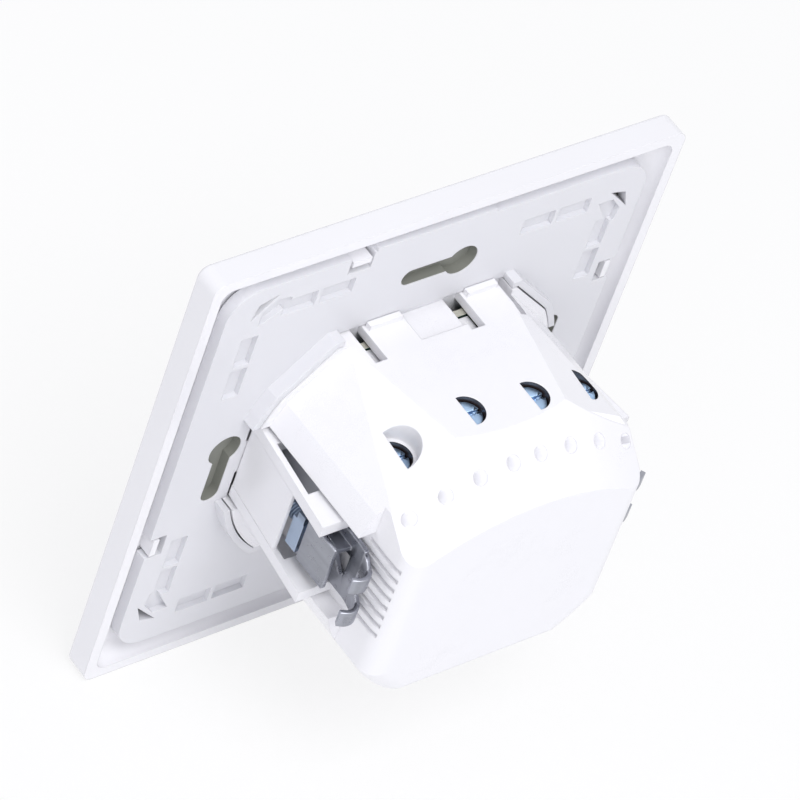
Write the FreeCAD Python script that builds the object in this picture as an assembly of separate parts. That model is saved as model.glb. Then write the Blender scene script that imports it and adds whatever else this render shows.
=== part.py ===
"""Flush-mounted smart dimmer switch, seen by the wall: +Z up, front faces -Y, insert runs to +Y.

The origin is the centre of the cover plate on the wall plane. All sizes are in millimetres.
"""
import os

import FreeCAD
import Part
from math import acos, cos, degrees, pi, radians, sin, sqrt

V = FreeCAD.Vector

# How far tools reach past what they cut, and past everything
past = 1.0
beyond = 60.0
seat_gap = 0.1

# Cover plate
plate_size = 87.0
plate_depth = 4.6
plate_skin = 1.8
plate_corner_r = 2.0
plate_front_edge_r = 0.6
sheet_inset = 2.3
sheet_hole_gap = 0.2
sheet_thick = 0.3
rim_wall = 1.9
rim_curve_r = 2.6
window_size = 58.0
window_corner_r = 1.5
hook_wide = 3.4
hook_thick = 1.1
hook_from_centre = 15.5
hook_catch = 0.7
hook_clear = 0.4
hook_notch_back = 0.9

# Support frame
frame_inset = 4.6
frame_corner_r = 5.5
frame_thick = 2.0
frame_recess = 0.4
frame_hole_clear = 0.25
frame_ridge = (-9.0, 13.0)
frame_ridge_inset = 4.0
slot_pitch = 60.0
slot_width = 3.2
slot_length = 14.0
slot_head_r = 2.85
slot_shift = 1.15
collar_wall = 1.1
collar_height = 2.4
pocket_wide = 6.0
pocket_high = 3.0
pocket_deep = 0.9
pocket_inset = 6.0
pocket_starts = (15.5, 22.3, -21.7, -28.5)
corner_hole = ((6.5, 4.9), (2.3, 9.1), (3.5, 5.7))
corner_pocket = ((8.3, 6.7), (5.5, 6.7), (3.5, 9.1), (3.9, 11.7), (5.3, 11.7))

# Housing shell
body_r = 27.0
body_rear = 34.3
body_wall = 1.6
body_edge_r = 3.2
body_bottom = -20.8
body_bottom_edge_r = 1.0
body_top = 22.0
body_bevel_inset = 1.0
shoulder_x = 11.0
shoulder_y = 19.7
shoulder_side = 0.581
shoulder_rear = 0.124
slope_r = 40.7
slope_centre = -26.2
slope_rise = 0.773
slope_lead = 4.0
recess_deep = 4.7
recess_half = 9.0
recess_tall_start = 25.5
recess_edge_r = 3.5
rail_over = 1.8
rail_under_front = 0.9
claw_cover_end = 12.9
claw_cover_wall = 0.6
claw_cover_inset = 0.1
claw_window_deep = 4.0
dark_slot_start = 5.0
dark_slot_end = 15.0
flange_over = 1.4
flange_rear = 2.2
rail_wall = 2.1
rail_flange = 1.0
rail_inner_half = 6.2
rail_end = 21.3
vent_pitch = 2.0
vent_wide = 0.9
vent_deep = 0.7
vent_start = 25.0
vent_end_back = 2.0
bottom_vent_start = 8.0
side_vents = 8
bottom_vents = 13
well_r = 2.8
well_flat = 0.3
well_wall = 0.7
dish_wide = 0.6
dish_over = 0.9
well_over = 0.15
well_under = 1.0
well_depth = 5.0

# Front cover, rocker and light guide
cover_thick = 1.5
cover_clear = 0.1
ear_reach = 2.4
ear_thick = 0.8
ear_inner = 2.6
ear_outer = 2.0
ear_half = 4.0
rocker_gap = 1.2
rocker_thick = 2.0
rocker_wall = 1.2
rocker_skirt = 1.3
rocker_front = 6.9
rocker_corner_r = 1.6
rocker_edge_r = 0.8
rocker_hollow_r = 1.0
lug_gap = 0.3
lug_leg = 1.6
lug_leg_end = 0.6
pin_end = 0.4
rib_half = 2.0
rib_tip_r = 0.8
guide_thick = 0.8
guide_clear = 0.1
guide_proud = 0.3
guide_corner_r = 1.4
guide_inner_r = 0.9
pivot_depth = 3.2
pivot_r = 1.0
pivot_clear = 0.05
pivot_x = 18.2
lug_wide = 2.0
lug_r = 1.25
stem_r = 1.2
stem_clear = 0.2
stem_z = 17.0
stem_gap = 0.1
stem_top = 3.3
stem_end = 0.0
switch_front = 0.6
switch_half = 3.0
switch_half_z = 1.5
switch_floor = 0.25

# Control board and what it carries
control_thick = 1.2
control_front = 0.9
board_side_gap = 0.9
lamp_hole_r = 1.3
lamp_half_x = 0.9
lamp_half_z = 0.7
lamp_front = -0.1
lamp_places = ((-15.0, 5.0), (15.0, -5.0), (7.5, 17.4), (-7.5, -17.4))
boss_r = 2.0
boss_x = 13.6
boss_z = 13.6
small_screw_r = 0.9
small_head_r = 1.7
small_head = 1.1
screw_slack = 0.05
board_screw_end = 1.9
lid_screw_end = 5.5
post_bore_end = 6.0
post_rib = 4.0
post_rib_half = 0.6
radio_base = (-14.5, -2.5, -8.0, 8.0)
radio_base_thick = 0.8
radio_can = (-13.5, -3.5, -7.0, 5.0)
radio_can_thick = 2.0
aerial_r = 15.0
aerial_wire_r = 0.45
aerial_angle = 110
aerial_turn = 20
header_span = (4.0, 6.6)
header_half = 8.0
tongues = ((3.5, 10.7), (-14.3, -7.5))
slot_side = 1.4
slot_wide = 2.2
slot_back = 6.4
dip_back = 5.2
dip_deep = 0.9
tongue_lug = 0.9
tongue_inset = 0.6
tongue_lug_long = 1.1
slot_extra = 0.3
slot_deep = 2.2
post_inset = 2.5
post_z = 12.8
post_r = 2.3
post_end = 8.0

# Power board and what it carries
power_front = 11.4
power_thick = 1.6
board_gap = 0.5
stay_x = 11.0
stay_z = 15.0
stay_r = 2.4
stay_bore = 6.0
stay_screw_end = 5.0
heat_half = 7.6
heat_end = 31.0
heat_gap = 0.3
heat_thick = 1.2
transistor_x = 3.9
transistor_half = 3.4
transistor_start = 17.0
transistor_end = 27.0
transistor_high = 3.4
leg_pitch = 2.0
leg_half = 0.35
leg_rise = 1.4
leg_thick = 0.6
capacitor_r = 4.0
capacitor_place = (13.6, -4.6)
capacitor_long = 14.0
film_inset = 2.9
film_wide = 6.0
film_span = (-9.4, 3.6)
film_high = 10.0
choke_r = 5.6
choke_wire_r = 2.4
choke_place = (-3.0, -4.6)
choke_lift = 2.6
choke_base = (-5.6, -0.4, -11.6, 2.4)
choke_base_thick = 0.9
fuse_r = 1.8
fuse_x = 7.0
fuse_lift = 2.2
fuse_span = (-9.0, 1.0)
fuse_foot = 0.6
disc_r = 3.6
disc_place = (-9.0, 8.0)
disc_lift = 1.2
disc_thick = 2.4
disc_leg = 0.6
disc_leg_x = (-11.0, -7.0)

# Terminals
outer_inset = (9.9, 9.4)
outer_y = (19.4, 19.5)
inner_places = ((5.3, 19.5), (-5.7, 20.8))
terminal_head_inner = 21.1
terminal_head_outer = 16.1
screw_head_r = 2.6
screw_head = 1.4
screw_r = 1.5
screw_cross = 0.7
screw_cross_deep = 0.8
screw_slot = 0.6
screw_slot_deep = 0.5
screw_tip_gap = 0.1
thread_clear = 0.06
clamp_lift = 1.6
inner_clamp_half = 4.0
outer_clamp_half = 3.0
terminal_split = 12.0
clamp_gap = 0.25
bar_under = 1.1
clamp_deep = 6.4
clamp_side = 0.7
clamp_top = 1.4
clamp_floor = 1.2
bar_thick = 0.8
bar_clear = 0.2
wire_gap = 2.8
wire_r = 1.2
sleeve_wall = 0.6
sleeve_long = 4.5
sleeve_start = 0.3
wire_spread = 2.95
wire_y = 28.6

# Spreading claws
claw_off_floor = 2.0
claw_thread_r = 1.45
claw_sheet = 0.8
claw_under_screw = 1.6
claw_half = 5.8
finger_wide = 4.4
finger_tip = 3.0
finger_taper = 3.0
claw_pivot_y = 15.0
claw_pin_r = 0.8
claw_ear = 1.3
claw_ear_gap = 0.4
claw_ear_thick = 1.2
claw_ear_front = 1.6
claw_slot_half = 2.1
claw_arm_start = 16.4
claw_bridge_start = 23.6
claw_bridge_end = 26.2
claw_bend_start = 24.2
claw_bend_r = 10.0
claw_bend_angle = 24.0
claw_curl_r = 1.9
claw_curl_angle = 96.0
claw_tip = 0.9
claw_leg_over = 1.6
claw_leg_half = 4.2
claw_fold_start = 16.6
claw_fold_end = 23.2
claw_fold_back = 21.2
claw_fold_foot = 2.2
nut_thick = 1.6
nut_half_z = 3.4
nut_over = 2.3
nut_lip_start = 13.5
nut_lip_end = 15.95
nut_lip_low = -3.8
nut_lip_high = 2.0
nut_lip_wall = 0.7
claw_screw_end = 17.2
claw_head_r = 2.7
claw_head = 1.8
head_clear = 0.25
bridge_half = 3.4
bridge_past = 1.0
pin_short = 0.1

# Places that follow from the values above
frame_size = plate_size - 2 * frame_inset
sheet_half = frame_size / 2 - sheet_inset
sheet_hole_half = window_size / 2 + sheet_hole_gap
rocker_size = window_size - 2 * rocker_gap
flange_r = body_r + flange_over
body_bevel = body_r - body_bevel_inset
recess_floor = body_r - recess_deep
rail_outer = body_r + rail_over
rail_outer_front = body_r - rail_under_front
claw_window = recess_floor + claw_window_deep
bridge_end = claw_window + bridge_past
claw_x = recess_floor + claw_off_floor
claw_inner = claw_x - claw_under_screw
claw_leg_x = claw_x + claw_leg_over
nut_outer = claw_x + nut_over
post_x = recess_floor - post_inset
control_half_x = post_x - post_r - board_side_gap
dish_r = well_r + dish_wide
frame_rear = -frame_recess
frame_front = frame_rear - frame_thick
cover_front = frame_front
cover_rear = cover_front + cover_thick
body_front = cover_rear
rocker_back = -rocker_front + rocker_thick
control_rear = control_front + control_thick
power_rear = power_front + power_thick
terminals = ([(body_r - outer_inset[0], outer_y[0], terminal_head_outer)]
             + [(x, y, terminal_head_inner) for x, y in inner_places]
             + [(outer_inset[1] - body_r, outer_y[1], terminal_head_outer)])


def block(x0, x1, y0, y1, z0, z1):
    """A box between two corners."""
    return Part.makeBox(x1 - x0, y1 - y0, z1 - z0, V(x0, y0, z0))


def rod(r, x, z, y0, y1):
    """A cylinder along Y."""
    return Part.makeCylinder(r, y1 - y0, V(x, y0, z), V(0, 1, 0))


def upright(r, x, y, z0, z1):
    """A cylinder along Z."""
    return Part.makeCylinder(r, z1 - z0, V(x, y, z0), V(0, 0, 1))


def crossbar(r, y, z, x0, x1):
    """A cylinder along X."""
    return Part.makeCylinder(r, x1 - x0, V(x0, y, z), V(1, 0, 0))


def square(half, corner_r, y0, y1):
    """A square plate with round corners, facing along Y."""
    plate = block(-half, half, y0, y1, -half, half)
    corners = [e for e in plate.Edges if abs(e.tangentAt(e.FirstParameter).y) > 0.9]
    return plate.makeFillet(corner_r, corners)


def prism(points, direction):
    """A solid swept from a closed outline of corners."""
    wire = Part.makePolygon(points + [points[0]])
    return Part.Face(wire).extrude(direction)


def quarter_turns(shape):
    """The shape and its three copies turned about Y."""
    axis = V(0, 1, 0)
    return [shape.rotated(V(0, 0, 0), axis, 90.0 * i) for i in range(4)]


def mirrored(shape):
    """The shape's copy on the other side."""
    return shape.mirror(V(0, 0, 0), V(1, 0, 0))


def cut(shape, tools):
    """The shape without a list of tools."""
    return shape.cut(Part.Compound(tools))


def join(shapes):
    """One solid out of several that meet."""
    return shapes[0].multiFuse(shapes[1:]).removeSplitter()


def screw(x, z, head_y, head_r, head_h, shank_r, end_y):
    """A pan-head screw along Y with a cross recess, its head towards the room."""
    head = rod(head_r, x, z, head_y, head_y + head_h)
    shank = rod(shank_r, x, z, head_y, end_y)
    arm = head_r * 0.55
    slot = head_r * 0.12
    deep = head_h * 0.6
    cross = [block(x - arm, x + arm, head_y, head_y + deep, z - slot, z + slot),
             block(x - slot, x + slot, head_y, head_y + deep, z - arm, z + arm)]
    return cut(join([head, shank]), cross)


def cover_plate():
    """The front plate with its rim, rounded cavity and four hooks for the support frame."""
    half = plate_size / 2
    plate = square(half, plate_corner_r, -plate_depth, 0)
    front_edges = [e for e in plate.Edges if e.BoundBox.YMax < -plate_depth + 0.01]
    plate = plate.makeFillet(plate_front_edge_r, front_edges)
    inner = half - rim_wall
    floor = -plate_depth + plate_skin
    cavity = square(inner, plate_corner_r, floor, past)
    floor_edges = [e for e in cavity.Edges if e.BoundBox.YMax < floor + 0.01]
    cavity = cavity.makeFillet(rim_curve_r, floor_edges)
    window = square(window_size / 2, window_corner_r, -plate_depth - past, 0)
    near = frame_size / 2 - hook_thick - hook_catch
    arm = block(hook_from_centre - hook_wide / 2, hook_from_centre + hook_wide / 2,
                floor, frame_rear + seat_gap, near, near + hook_thick)
    return join([cut(plate, [cavity, window])] + quarter_turns(arm))


def backing_sheet():
    """The thin seal sheet behind the support frame, seen through the keyhole slots."""
    floor = -plate_depth + plate_skin
    sheet = square(sheet_half, frame_corner_r, floor, floor + sheet_thick)
    return cut(sheet, [square(sheet_hole_half, window_corner_r, floor - past, floor + past)])


def side_prism(outline, y0, y1):
    """A prism along Y from (x, z) corners."""
    return prism([V(x, y0, z) for x, z in outline], V(0, y1 - y0, 0))


def roof_tool(reach, y0, y1):
    """All that lies below two 45 degree slopes that meet at a height."""
    outline = [(-beyond, reach - beyond), (-beyond, -beyond), (beyond, -beyond), (beyond, reach - beyond),
               (0, reach)]
    return side_prism(outline, y0, y1)


def insert_outline(offset, y0, y1):
    """The outline of the insert's flange, grown by an offset, as a solid between two depths."""
    grow = flange_r - body_r + offset
    reach = (body_bevel + grow) * sqrt(2)
    bevel = roof_tool(reach, y0, y1)
    slab = block(-beyond, beyond, y0, y1, body_bottom - offset, body_top + offset)
    return rod(flange_r + offset, 0, 0, y0, y1).common(slab).common(bevel)


def keyhole(shift):
    """The outline of one wall-screw slot above the centre, its round head towards -X."""
    r = slot_width / 2
    z = slot_pitch / 2
    left = shift - slot_length / 2 + slot_head_r
    right = shift + slot_length / 2 - r
    y0 = frame_front - 1
    y1 = frame_rear + 1
    leg = block(left, right, y0, y1, z - r, z + r)
    return join([leg, rod(r, right, z, y0, y1), rod(slot_head_r, left, z, y0, y1)])


def keyholes():
    """All four wall-screw slots; the side ones sit a little lower than a plain turn puts them."""
    return [keyhole(slot_shift * (-1) ** (i + 1)).rotated(V(0, 0, 0), V(0, 1, 0), 90.0 * i)
            for i in range(4)]


def frame_pockets():
    """Shallow pockets, corner slots and hook notches along one side, cut from behind."""
    y0 = frame_rear - pocket_deep
    y1 = frame_rear + past
    edge = frame_size / 2
    low = edge - pocket_inset - pocket_high / 2
    high = low + pocket_high
    notch_half = hook_wide / 2 + hook_clear
    tools = [block(left, left + pocket_wide, y0, y1, low, high) for left in pocket_starts]
    tools.append(block(hook_from_centre - notch_half, hook_from_centre + notch_half, frame_front - past, y1,
                       edge - 2 * hook_thick - hook_notch_back, edge + past))
    for insets, y in ((corner_hole, frame_front - past), (corner_pocket, y0)):
        tools.append(side_prism([(dx - edge, edge - dz) for dx, dz in insets], y, y1))
    return tools


def collar():
    """The raised lip round the insert, left open at the claws and over the snap tongues."""
    open_half = -tongues[1][0] + slot_side
    y0 = frame_rear - frame_thick / 4
    y1 = frame_rear + collar_height
    return cut(insert_outline(frame_hole_clear + collar_wall, y0, y1),
               [insert_outline(frame_hole_clear, y0 - past, y1 + past),
                block(-beyond, beyond, y0 - past, y1 + past, -recess_half, recess_half),
                block(-open_half, open_half, y0 - past, y1 + past, -beyond, beyond)])


def support_frame():
    """The wall frame with keyhole slots, pockets, collar and claw windows."""
    half = frame_size / 2
    plate = square(half, frame_corner_r, frame_front, frame_rear)
    y0 = frame_front - 1
    y1 = frame_rear + 1
    beside = block(recess_floor, beyond, y0, y1, -recess_half, recess_half)
    hole = cut(insert_outline(frame_hole_clear, y0, y1), [beside, mirrored(beside)])
    window = block(recess_floor - lug_gap, claw_window, y0, y1, -recess_half, recess_half)
    bridge = block(recess_floor + hook_clear / 2, bridge_end, frame_front, frame_rear,
                   -bridge_half, bridge_half)
    plate = cut(plate, [hole, window, mirrored(window)])
    ridge = block(frame_ridge[0], frame_ridge[1], frame_front, frame_rear,
                  half - past, plate_size / 2 - frame_ridge_inset)
    plate = join([plate, bridge, mirrored(bridge), ridge, collar()])
    tools = keyholes()
    for side in (-1, 1):
        tools.append(rod(screw_r + head_clear / 2, side * claw_x, 0, y0, y1))
        tools.append(rod(claw_head_r + head_clear, side * claw_x, 0, y0, frame_front + claw_head / 2))
    for tool in frame_pockets():
        tools += quarter_turns(tool)
    return cut(plate, tools)


def slope_cone(shrink):
    """All that lies under the slanted face, a shallow cone that runs on to the front."""
    start = body_front - slope_lead
    long = body_rear - start
    side = shrink * sqrt(1 + slope_rise ** 2)
    wide = slope_r + long * slope_rise - side
    tight = slope_r - past * slope_rise - side
    return Part.makeCone(wide, tight, long + past, V(0, start, slope_centre), V(0, 1, 0))


def shoulder_tool(shrink):
    """What the sloped shoulder takes away above the outer terminal on the +X side."""
    normal = V(shoulder_side, shoulder_rear, 1.0).normalize()
    tool = block(-beyond, beyond, -beyond, beyond, 0, beyond)
    axis = V(0, 0, 1).cross(normal)
    tool = tool.rotated(V(0, 0, 0), axis, degrees(acos(normal.z)))
    tool.translate(V(shoulder_x, shoulder_y, body_top) - normal * shrink)
    return tool


def recess_tool(shrink, edge_r):
    """What the claw recess takes away on the +X side, with its rounded end at the rear face."""
    floor = recess_floor - shrink
    rear = body_rear - shrink
    y0 = body_front - 5
    bend = Part.Arc(V(floor, rear - edge_r, 0),
                    V(floor - edge_r * (1 - cos(pi / 4)), rear - edge_r * (1 - sin(pi / 4)), 0),
                    V(floor - edge_r, rear, 0)).toShape()
    turn = [V(floor - edge_r, rear, 0), V(floor - edge_r, rear + 5, 0), V(beyond, rear + 5, 0),
            V(beyond, y0, 0), V(floor, y0, 0), V(floor, rear - edge_r, 0)]
    lines = [Part.LineSegment(a, b).toShape() for a, b in zip(turn[:-1], turn[1:])]
    outline = Part.Wire([bend] + lines)
    half = recess_half + shrink
    tool = Part.Face(outline).extrude(V(0, 0, 2 * half))
    tool.translate(V(0, 0, -half))
    tall = Part.Face(outline).extrude(V(0, 0, 2 * beyond))
    tall.translate(V(0, 0, -beyond))
    return tool.fuse(tall.common(block(0, beyond, recess_tall_start - shrink, beyond, -beyond, beyond)))


def body_form(shrink, front, recess_edge):
    """The insert's outline, shrunk by a wall on all sides."""
    r = body_r - shrink
    rear = body_rear - shrink
    edge = body_edge_r
    mid = edge * cos(pi / 4)
    bend = Part.Arc(V(r, rear - edge, 0), V(r - edge + mid, rear - edge + mid, 0),
                    V(r - edge, rear, 0)).toShape()
    corners = [V(r - edge, rear, 0), V(0, rear, 0), V(0, front, 0), V(r, front, 0),
               V(r, rear - edge, 0)]
    lines = [Part.LineSegment(a, b).toShape() for a, b in zip(corners[:-1], corners[1:])]
    turned = Part.Face(Part.Wire([bend] + lines)).revolve(V(0, 0, 0), V(0, 1, 0), 360)
    slab = block(-beyond, beyond, front - past, rear, body_bottom + shrink, body_top - shrink)
    low_edge = [e for e in slab.Edges
                if e.BoundBox.YMin > rear - 0.01 and e.BoundBox.ZMax < body_bottom + shrink + 0.01]
    slab = slab.makeFillet(body_bottom_edge_r, low_edge)
    reach = (body_bevel - shrink) * sqrt(2)
    bevel = roof_tool(reach, front - past, rear + past)
    form = turned.common(slab).common(bevel).common(slope_cone(shrink))
    side = recess_tool(shrink, recess_edge)
    shoulder = shoulder_tool(shrink)
    return cut(form, [side, mirrored(side), shoulder, mirrored(shoulder)])


def housing():
    """The insert's shell with claw rails, vents, screw wells, wire entries and snap notches."""
    shell = body_form(0, body_front, recess_edge_r)
    middle = block(-beyond, beyond, body_front - past, flange_rear + past, -recess_half, recess_half)
    flange = cut(insert_outline(0, body_front, flange_rear), [middle])
    shell = join([shell, flange])
    hollow = body_form(body_wall, body_front - 2, recess_edge_r)
    tools = [hollow]
    for i in range(side_vents):
        z = (i - (side_vents - 1) / 2) * vent_pitch
        groove = block(recess_floor - vent_deep, recess_floor + past, vent_start, body_rear - vent_end_back,
                       z - vent_wide / 2, z + vent_wide / 2)
        tools += [groove, mirrored(groove)]
    for i in range(bottom_vents):
        x = (i - (bottom_vents - 1) / 2) * vent_pitch
        tools.append(block(x - vent_wide / 2, x + vent_wide / 2, bottom_vent_start, body_rear + past,
                           body_bottom - past, body_bottom + vent_deep))
    tools += tongue_slots(body_top) + tongue_slots(body_bottom)
    vent = block(recess_floor - body_wall - 0.6, recess_floor + 0.1, dark_slot_start, dark_slot_end,
                 rail_inner_half + rail_wall + 0.2, recess_half - 0.1)
    tools += [vent, mirrored(vent)]
    wires = [x + side * wire_spread for x, y, head in terminals for side in (-1, 1)]
    sleeves = [wire_bore(x, wire_r + sleeve_wall, -sleeve_start) for x in wires]
    inside = body_form(body_wall / 2, body_front, recess_edge_r)
    sleeves += [well_sleeve(x, y, head) for x, y, head in terminals]
    shell = join([cut(shell, tools)] + [sleeve.common(inside) for sleeve in sleeves])
    bores = [wire_bore(x, wire_r, 2 * past) for x in wires]
    for x, y, head in terminals:
        bores += screw_well(x, y, head)
    shell = cut(shell, bores)
    parts = [shell] + claw_rails() + claw_covers()
    for low, high in tongues:
        for edge, way in ((body_top, 1), (body_bottom, -1)):
            z0, z1 = sorted([edge - way * slot_extra, edge + way * tongue_lug])
            y0 = frame_rear + seat_gap
            parts.append(block(low + tongue_inset, high - tongue_inset, y0, y0 + tongue_lug_long, z0, z1))
    parts += [screw_post(x, z) for x in (-post_x, post_x) for z in (-post_z, post_z)]
    for x in (-stay_x, stay_x):
        stay = rod(stay_r, x, -stay_z, power_rear, body_rear - body_wall + 0.2)
        parts.append(cut(stay, [rod(small_screw_r, x, -stay_z, power_rear - past, power_rear + stay_bore)]))
    return join(parts)


def well_mouth(x):
    """The radius of the opening over one terminal screw: the one on the sloped shoulder is wider."""
    return dish_r if x > terminal_split else well_r


def well_sleeve(x, y, head):
    """The wall round one terminal screw's head, inside the shell."""
    return upright(well_mouth(x) + well_wall, x, y, head - screw_head, body_top)


def screw_well(x, y, head):
    """What one terminal screw takes out of the shell: its room and the half-round opening above."""
    tools = [upright(well_r, x, y, head - screw_head - well_under, head + well_over),
             upright(screw_r + head_clear, x, y, head - well_depth, head)]
    open_side = block(x - dish_r, x + well_flat, y - dish_r, y + dish_r, head - past, body_top + past)
    tools.append(upright(well_r, x, y, head, body_top + past).common(open_side))
    if x > terminal_split:
        tools.append(upright(dish_r, x, y, head + dish_over, body_top + past).common(open_side))
    return tools


def tongue_slots(edge):
    """The slots beside both snap tongues and the dip between them, in the wall at one height."""
    way = 1 if edge > 0 else -1
    first, second = tongues
    y0 = body_front - past
    spans = [(first[1], first[1] + slot_wide), (second[1], second[1] + slot_wide + slot_extra),
             (second[0] - slot_side, second[0])]
    z0, z1 = sorted([edge - slot_deep * way, edge + past * way])
    tools = [block(a, b, y0, slot_back, z0, z1) for a, b in spans]
    z0, z1 = sorted([edge - dip_deep * way, edge + past * way])
    tools.append(block(second[1] + slot_wide, first[0], y0, dip_back, z0, z1))
    return tools


def rail_reach(y):
    """How far out the rails stand at one depth: they flare towards their rear end."""
    start = frame_rear + seat_gap
    return rail_outer_front + (rail_outer - rail_outer_front) * (y - start) / (rail_end - start)


def claw_rails():
    """The four guide rails beside the claws, each an outer flange on two webs with a slot between."""
    root = recess_floor - hook_clear
    start = frame_rear + seat_gap
    outline = [V(root, start, 0), V(rail_outer_front, start, 0), V(rail_outer, rail_end, 0),
               V(root, rail_end, 0)]
    far_start = rail_reach(dark_slot_start) - rail_flange
    far_end = rail_reach(dark_slot_end) - rail_flange
    opening = [V(root, dark_slot_start, -past), V(far_start, dark_slot_start, -past),
               V(far_end, dark_slot_end, -past), V(root, dark_slot_end, -past)]
    rail = cut(prism(outline, V(0, 0, rail_wall)), [prism(opening, V(0, 0, rail_wall + 2 * past))])
    upper = rail.translated(V(0, 0, rail_inner_half))
    lower = rail.translated(V(0, 0, -rail_inner_half - rail_wall))
    return [upper, lower, mirrored(upper), mirrored(lower)]


def claw_covers():
    """The walls that bridge the rails over the front of both claw screws."""
    start = frame_rear + seat_gap
    half = rail_inner_half + seat_gap
    near = rail_outer_front - claw_cover_inset
    far = rail_reach(claw_cover_end) - claw_cover_inset
    outline = [V(near, start, -half), V(far, claw_cover_end, -half),
               V(far - claw_cover_wall, claw_cover_end, -half), V(near - claw_cover_wall, start, -half)]
    wall = cut(prism(outline, V(0, 0, 2 * half)),
               [rod(claw_thread_r + head_clear / 2, claw_x, 0, start - past, claw_cover_end + past)])
    return [wall, mirrored(wall)]


def screw_post(x, z):
    """One post for a lid screw, tied to the wall by a rib."""
    post = rod(post_r, x, z, body_front, post_end)
    x0, x1 = sorted([x, x + (post_rib if x > 0 else -post_rib)])
    rib = block(x0, x1, body_front, post_end, z - post_rib_half, z + post_rib_half)
    rib = rib.common(body_form(body_wall / 8, body_front, recess_edge_r))
    return cut(join([post, rib]), [rod(small_screw_r, x, z, body_front - past, post_bore_end)])


def wire_mouth(x):
    """Where a wire bore meets the slanted face, and the direction that it points out."""
    tilt = slope_rise
    radius = slope_r + (body_rear - wire_y) * tilt
    z = slope_centre + sqrt(radius ** 2 - x ** 2)
    out = V(0, tilt, 1.0).normalize()
    return V(x, wire_y, z), out


def wire_bore(x, r, reach):
    """A rod square to the slanted wall, from inside to a reach past its face."""
    mouth, out = wire_mouth(x)
    return Part.makeCylinder(r, sleeve_long + reach, mouth - out * sleeve_long, out)


def front_cover():
    """The lid that closes the insert and carries the rocker's bearings and the board's bosses."""
    lid = rod(body_r - cover_clear, 0, 0, cover_front, cover_rear)
    y0 = cover_front - past
    y1 = cover_rear + past
    slab = block(-beyond, beyond, y0, y1, body_bottom, body_top)
    window = block(recess_floor - lug_gap, beyond, y0, y1, -recess_half, recess_half)
    head = rod(claw_head_r + head_clear, claw_x, 0, y0, y1)
    lid = cut(lid.common(slab), [window, mirrored(window), head, mirrored(head)])
    ears = []
    for angle in (45, 135, 225, 315):
        centre = body_r + ear_reach / 2
        ear = block(centre - ear_inner, centre + ear_outer, cover_front - ear_thick, cover_front,
                    -ear_half, ear_half)
        ears.append(ear.rotated(V(0, 0, 0), V(0, 1, 0), angle))
    lugs = []
    for side in (-1, 1):
        x0 = side * pivot_x - lug_wide / 2
        base = block(x0, x0 + lug_wide, -pivot_depth, cover_front, -lug_r, lug_r)
        lugs += [base, crossbar(lug_r, -pivot_depth, 0, x0, x0 + lug_wide)]
    bosses = [rod(boss_r, x, z, cover_rear, control_front)
              for x in (-boss_x, boss_x) for z in (-boss_z, boss_z)]
    tools = [crossbar(pivot_r + pivot_clear, -pivot_depth, 0, -beyond, beyond)]
    tools += [rod(stem_r + stem_clear, 0, z, y0, y1) for z in (-stem_z, stem_z)]
    tools += [rod(small_screw_r, x, z, cover_rear - hook_clear, control_front + past)
              for x in (-boss_x, boss_x) for z in (-boss_z, boss_z)]
    tools += [rod(small_screw_r + guide_clear, x, z, y0, y1)
              for x in (-post_x, post_x) for z in (-post_z, post_z)]
    tools += [rod(lamp_hole_r, x, z, y0, y1) for x, z in lamp_places]
    return cut(join([lid] + ears + lugs + bosses), tools)


def rocker_button():
    """The big key with its skirt, bearing pins and two pressing ribs."""
    half = rocker_size / 2
    key = square(half, rocker_corner_r, -rocker_front, rocker_back + rocker_skirt)
    front_edges = [e for e in key.Edges if e.BoundBox.YMax < -rocker_front + 0.01]
    key = key.makeFillet(rocker_edge_r, front_edges)
    hollow = square(half - rocker_wall, rocker_hollow_r, rocker_back, rocker_back + rocker_skirt + past)
    key = cut(key, [hollow])
    parts = [key]
    for side in (-1, 1):
        near = side * (pivot_x - lug_wide / 2 - lug_gap)
        x0, x1 = sorted([near, near - side * lug_leg])
        parts.append(block(x0, x1, rocker_back, -pivot_depth + lug_leg_end, -pivot_r, pivot_r))
        p0, p1 = sorted([near - side * lug_leg, side * (pivot_x + lug_wide / 2 + pin_end)])
        parts.append(crossbar(pivot_r, -pivot_depth, 0, p0, p1))
    tip_y = -stem_top - stem_gap - rib_tip_r
    for z in (-stem_z, stem_z):
        parts.append(block(-rib_half, rib_half, rocker_back, tip_y, z - rib_tip_r, z + rib_tip_r))
        parts.append(crossbar(rib_tip_r, tip_y, z, -rib_half, rib_half))
    return join(parts)


def switch_stem(z):
    """One key switch's sprung stem."""
    return rod(stem_r, 0, z, -stem_top, stem_end)


def switch_body(z):
    """One key switch on the control board, with the well for its stem."""
    body = block(-switch_half, switch_half, -switch_front, control_front,
                 z - switch_half_z, z + switch_half_z)
    well = rod(stem_r + stem_clear / 2, 0, z, -switch_front - past, control_front - switch_floor)
    return cut(body, [well])


def light_guide():
    """The thin ring of clear plastic between the rocker and the plate."""
    outer = window_size / 2 - guide_clear
    front = -plate_depth - guide_proud
    ring = square(outer, guide_corner_r, front, frame_front)
    return cut(ring, [square(outer - guide_thick, guide_inner_r, front - past, frame_front + past)])


def control_board():
    """The front board with its radio."""
    board = body_form(body_wall + board_gap, body_front, recess_edge_r)
    board = board.common(block(-control_half_x, control_half_x, control_front, control_rear,
                               -beyond, beyond))
    holes = [rod(small_screw_r + guide_clear, x, z, control_front - past, control_rear + past)
             for x in (-boss_x, boss_x) for z in (-boss_z, boss_z)]
    return cut(board, holes)


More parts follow.
